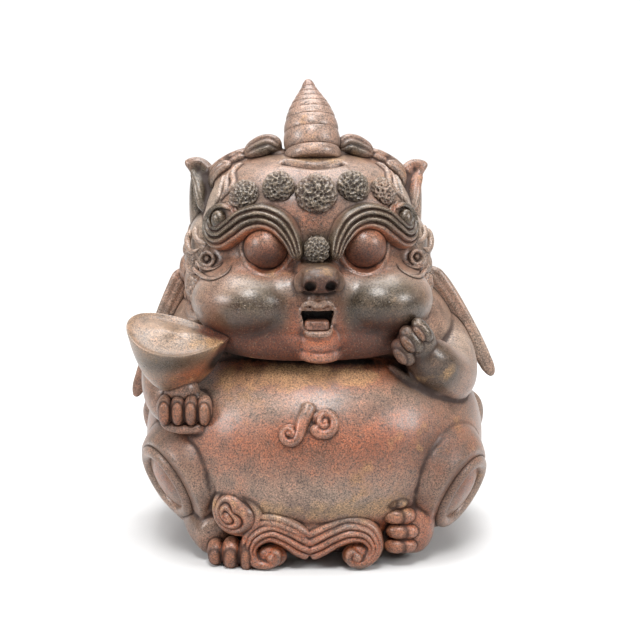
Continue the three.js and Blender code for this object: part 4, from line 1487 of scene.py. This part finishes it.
class QILIN_OT_brows(Build):
    """Model the ridged brows"""

    bl_idname = "qilin.brows"
    bl_label = "Brows"

    def execute(self, context):
        sizes = context.scene.qilin_sizes
        handed_over(fused(brow_forms(), "brows", 0.28, 1), head_pose(sizes), triangles=130000)
        return {"FINISHED"}


class QILIN_OT_hair(Build):
    """Model the curls beside the face and horn, and the mane over the back of the head"""

    bl_idname = "qilin.hair"
    bl_label = "Curls and mane"

    def execute(self, context):
        sizes = context.scene.qilin_sizes
        pose = head_pose(sizes)
        head = bpy.data.objects.get("head")
        if head is None:
            raise RuntimeError("the curls lie on the head: build it first")
        curls = [side_hair_forms(surface_of(head, pose)), crown_forms()]
        handed_over(fused(curls, "curls", 0.38, 1), pose, triangles=160000)
        handed_over(fused(mane_forms(), "mane", 0.7, 3), pose, triangles=110000)
        return {"FINISHED"}


class QILIN_OT_horn(Build):
    """Model the ribbed horn"""

    bl_idname = "qilin.horn"
    bl_label = "Horn"

    def execute(self, context):
        sizes = context.scene.qilin_sizes
        handed_over(joined([horn_form(sizes)], "horn"), head_pose(sizes))
        return {"FINISHED"}


class QILIN_OT_knobs(Build):
    """Model the pitted knobs on the forehead and the bridge of the nose"""

    bl_idname = "qilin.knobs"
    bl_label = "Forehead knobs"

    def execute(self, context):
        sizes = context.scene.qilin_sizes
        handed_over(joined(knob_forms(sizes), "forehead_knobs"), head_pose(sizes))
        return {"FINISHED"}


class QILIN_OT_eyes(Build):
    """Model the eyes and the lower tooth plate"""

    bl_idname = "qilin.eyes"
    bl_label = "Eyes and tooth"

    def execute(self, context):
        sizes = context.scene.qilin_sizes
        handed_over(joined(eye_forms(sizes), "eyes"), head_pose(sizes))
        handed_over(joined([tooth_form()], "tooth"), head_pose(sizes))
        return {"FINISHED"}


class QILIN_OT_ingot(Build):
    """Model the ingot in the right paw"""

    bl_idname = "qilin.ingot"
    bl_label = "Ingot"

    def execute(self, context):
        sizes = context.scene.qilin_sizes
        handed_over(joined([ingot_form(sizes)], "ingot"))
        return {"FINISHED"}


class QILIN_OT_paws(Build):
    """Model the fingers and toes with their nails"""

    bl_idname = "qilin.paws"
    bl_label = "Paws"

    def execute(self, context):
        for name, parts in (
            ("right_paw", right_paw_parts()), ("left_paw", left_paw_parts()),
            ("right_foot", right_foot_parts()), ("left_foot", left_foot_parts()),
        ):
            fingers, nails = parts
            handed_over(fused(fingers, name + "_fingers", 0.35, 3))
            handed_over(joined(nails, name + "_nails"))
        return {"FINISHED"}


class QILIN_OT_belly_scroll(Build):
    """Model the raised scroll on the belly"""

    bl_idname = "qilin.belly_scroll"
    bl_label = "Belly scroll"

    def execute(self, context):
        handed_over(fused(belly_scroll_forms(), "belly_scroll", 0.25, 3))
        return {"FINISHED"}


class QILIN_OT_haunch_discs(Build):
    """Model the round discs with a thick rim on the haunches"""

    bl_idname = "qilin.haunch_discs"
    bl_label = "Haunch discs"

    def execute(self, context):
        forms = haunch_disc((60.3, -40, 25.6)) + mirrored(haunch_disc((59, -40, 29.6)))
        handed_over(joined(forms, "haunch_discs"))
        return {"FINISHED"}


class QILIN_OT_clouds(Build):
    """Model the rolled clouds at the base"""

    bl_idname = "qilin.clouds"
    bl_label = "Base clouds"

    def execute(self, context):
        handed_over(fused(cloud_forms(), "base_clouds", 0.4, 2), triangles=120000)
        return {"FINISHED"}


class QILIN_OT_locks(Build):
    """Model the long locks that hang behind the arms"""

    bl_idname = "qilin.locks"
    bl_label = "Hanging locks"

    def execute(self, context):
        forms = hanging_lock((-54, 112), (-77.2, 56)) + hanging_lock((49, 112), (77.8, 65.4))
        handed_over(fused(forms, "hanging_locks", 0.5, 3))
        return {"FINISHED"}


class QILIN_OT_firing(Build):
    """Mark every piece with ash, flame and dust, paint its shade and highlights, and give it its fired clay
    """

    bl_idname = "qilin.firing"
    bl_label = "Wood firing"

    def execute(self, context):
        sizes = context.scene.qilin_sizes
        pieces = [o for o in bpy.data.objects if o.get("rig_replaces")]
        if not pieces:
            raise RuntimeError("there are no pieces to fire: build them first")
        trees = {}
        for piece in pieces:
            rows = points_of(piece)
            trees[piece.name] = (tree_of(piece, rows), rows.min(0), rows.max(0))
        colours = context.scene.qilin_colours
        surface = fired_surface_group(kiln_flash_group(), grit_group())
        body = fired_material("fired_clay", surface, colours, {})
        nails = fired_material("nail_clay", surface, colours, {
            "Clay": colours.nail, "Pale clay and highlight": (0.27, 0.15, 0.09), "Flame amount": 0.6, "Ash amount": 0.8,
        })
        finishes = {
            name: fired_material(finish, surface, colours, changes)
            for name, (finish, changes) in FINISHES.items()
        }
        finishes["tooth"] = finishes["eyes"]
        for piece in pieces:
            marked(piece, trees, head_pose(sizes))
            clay = nails if piece.name.endswith("_nails") else finishes.get(piece.name, body)
            piece.data.materials.clear()
            piece.data.materials.append(clay)
        return {"FINISHED"}


class QILIN_OT_stage(Build):
    """Set a pale sweep of paper, soft lights and a camera at the photograph's angle"""

    bl_idname = "qilin.stage"
    bl_label = "Stage"

    def execute(self, context):
        deselect()
        bpy.ops.mesh.primitive_grid_add(x_subdivisions=2, y_subdivisions=80, size=8)
        floor = bpy.context.object
        floor.name = "floor"
        rows = points_of(floor)
        past = rows[:, 1] - PAPER_BEND
        bend = np.clip(past / PAPER_RADIUS, 0, math.pi / 2)
        rise = np.maximum(0, past - PAPER_RADIUS * math.pi / 2)
        back = np.where(past > 0, PAPER_BEND + PAPER_RADIUS * np.sin(bend), rows[:, 1])
        put_points(floor, np.column_stack([rows[:, 0], back, PAPER_RADIUS * (1 - np.cos(bend)) + rise]))
        bpy.ops.object.shade_smooth()
        paper = bpy.data.materials.new("pale_floor")
        paper.use_nodes = True
        sheet = paper.node_tree.nodes["Principled BSDF"].inputs
        sheet["Base Color"].default_value = (0.55, 0.55, 0.55, 1)
        sheet["Roughness"].default_value = 0.9
        floor.data.materials.append(paper)
        for name, place, aim, size, energy in (
            ("top", (0, -0.6, 1.1), (0, -0.02, 0.1), 0.4, 12.8),
            ("left", (-0.95, -0.5, 0.6), (0, 0, 0.09), 0.4, 10.5),
            ("right", (0.95, -0.5, 0.6), (0, 0, 0.09), 0.4, 9.5),
            ("front", (0.1, -1.2, 0.75), (0, 0, 0.09), 0.6, 1.5),
            ("paper", (0, 0.5, 1.7), (0, 1.5, 0.1), 1.5, 55),
        ):
            bpy.ops.object.light_add(type="AREA", location=place)
            light = bpy.context.object
            light.name = name
            light.rotation_euler = (Vector(aim) - Vector(place)).to_track_quat("-Z", "Y").to_euler()
            light.data.size = size
            light.data.energy = energy
        world = bpy.data.worlds.new("studio")
        world.use_nodes = True
        sky = world.node_tree.nodes["Background"].inputs
        sky["Color"].default_value = (1, 1, 1, 1)
        sky["Strength"].default_value = 0.15
        context.scene.world = world
        context.scene.view_settings.view_transform = "Standard"
        target = Vector(CAMERA_AIM) + Vector(FIGURE_SHIFT) * 0.001
        place = target + CAMERA_AWAY * Vector((0, -math.cos(CAMERA_RAISED), math.sin(CAMERA_RAISED)))
        bpy.ops.object.camera_add(location=place, rotation=(math.pi / 2 - CAMERA_RAISED, 0, 0))
        camera = bpy.context.object
        camera.name = "camera"
        camera.data.sensor_width = SENSOR_WIDTH
        camera.data.lens = SENSOR_WIDTH * FOCAL_PIXELS / PICTURE_PIXELS
        camera.data.clip_start = 0.01
        context.scene.camera = camera
        return {"FINISHED"}


OPERATORS = (
    QILIN_OT_trunk, QILIN_OT_head, QILIN_OT_brows, QILIN_OT_hair, QILIN_OT_horn, QILIN_OT_knobs,
    QILIN_OT_eyes, QILIN_OT_ingot, QILIN_OT_paws, QILIN_OT_belly_scroll, QILIN_OT_haunch_discs,
    QILIN_OT_clouds, QILIN_OT_locks, QILIN_OT_firing, QILIN_OT_stage,
)


class QILIN_PT_panel(bpy.types.Panel):
    """Lists the settings and the operators of the figure"""

    bl_idname = "QILIN_PT_panel"
    bl_label = "Ceramic qilin"
    bl_space_type = "VIEW_3D"
    bl_region_type = "UI"
    bl_category = "Qilin"

    def draw(self, context):
        for settings in (context.scene.qilin_sizes, context.scene.qilin_colours):
            box = self.layout.box()
            for name in type(settings).__annotations__:
                box.prop(settings, name)
        for operator in OPERATORS:
            self.layout.operator(operator.bl_idname)


CLASSES = (QilinSizes, QilinColours, *OPERATORS, QILIN_PT_panel)


def register():
    for item in CLASSES:
        bpy.utils.register_class(item)
    bpy.types.Scene.qilin_sizes = bpy.props.PointerProperty(type=QilinSizes)
    bpy.types.Scene.qilin_colours = bpy.props.PointerProperty(type=QilinColours)


def unregister():
    del bpy.types.Scene.qilin_colours
    del bpy.types.Scene.qilin_sizes
    for item in reversed(CLASSES):
        bpy.utils.unregister_class(item)


def main():
    register()
    for operator in OPERATORS:
        family, name = operator.bl_idname.split(".")
        getattr(getattr(bpy.ops, family), name)()


if __name__ == "__main__":
    main()
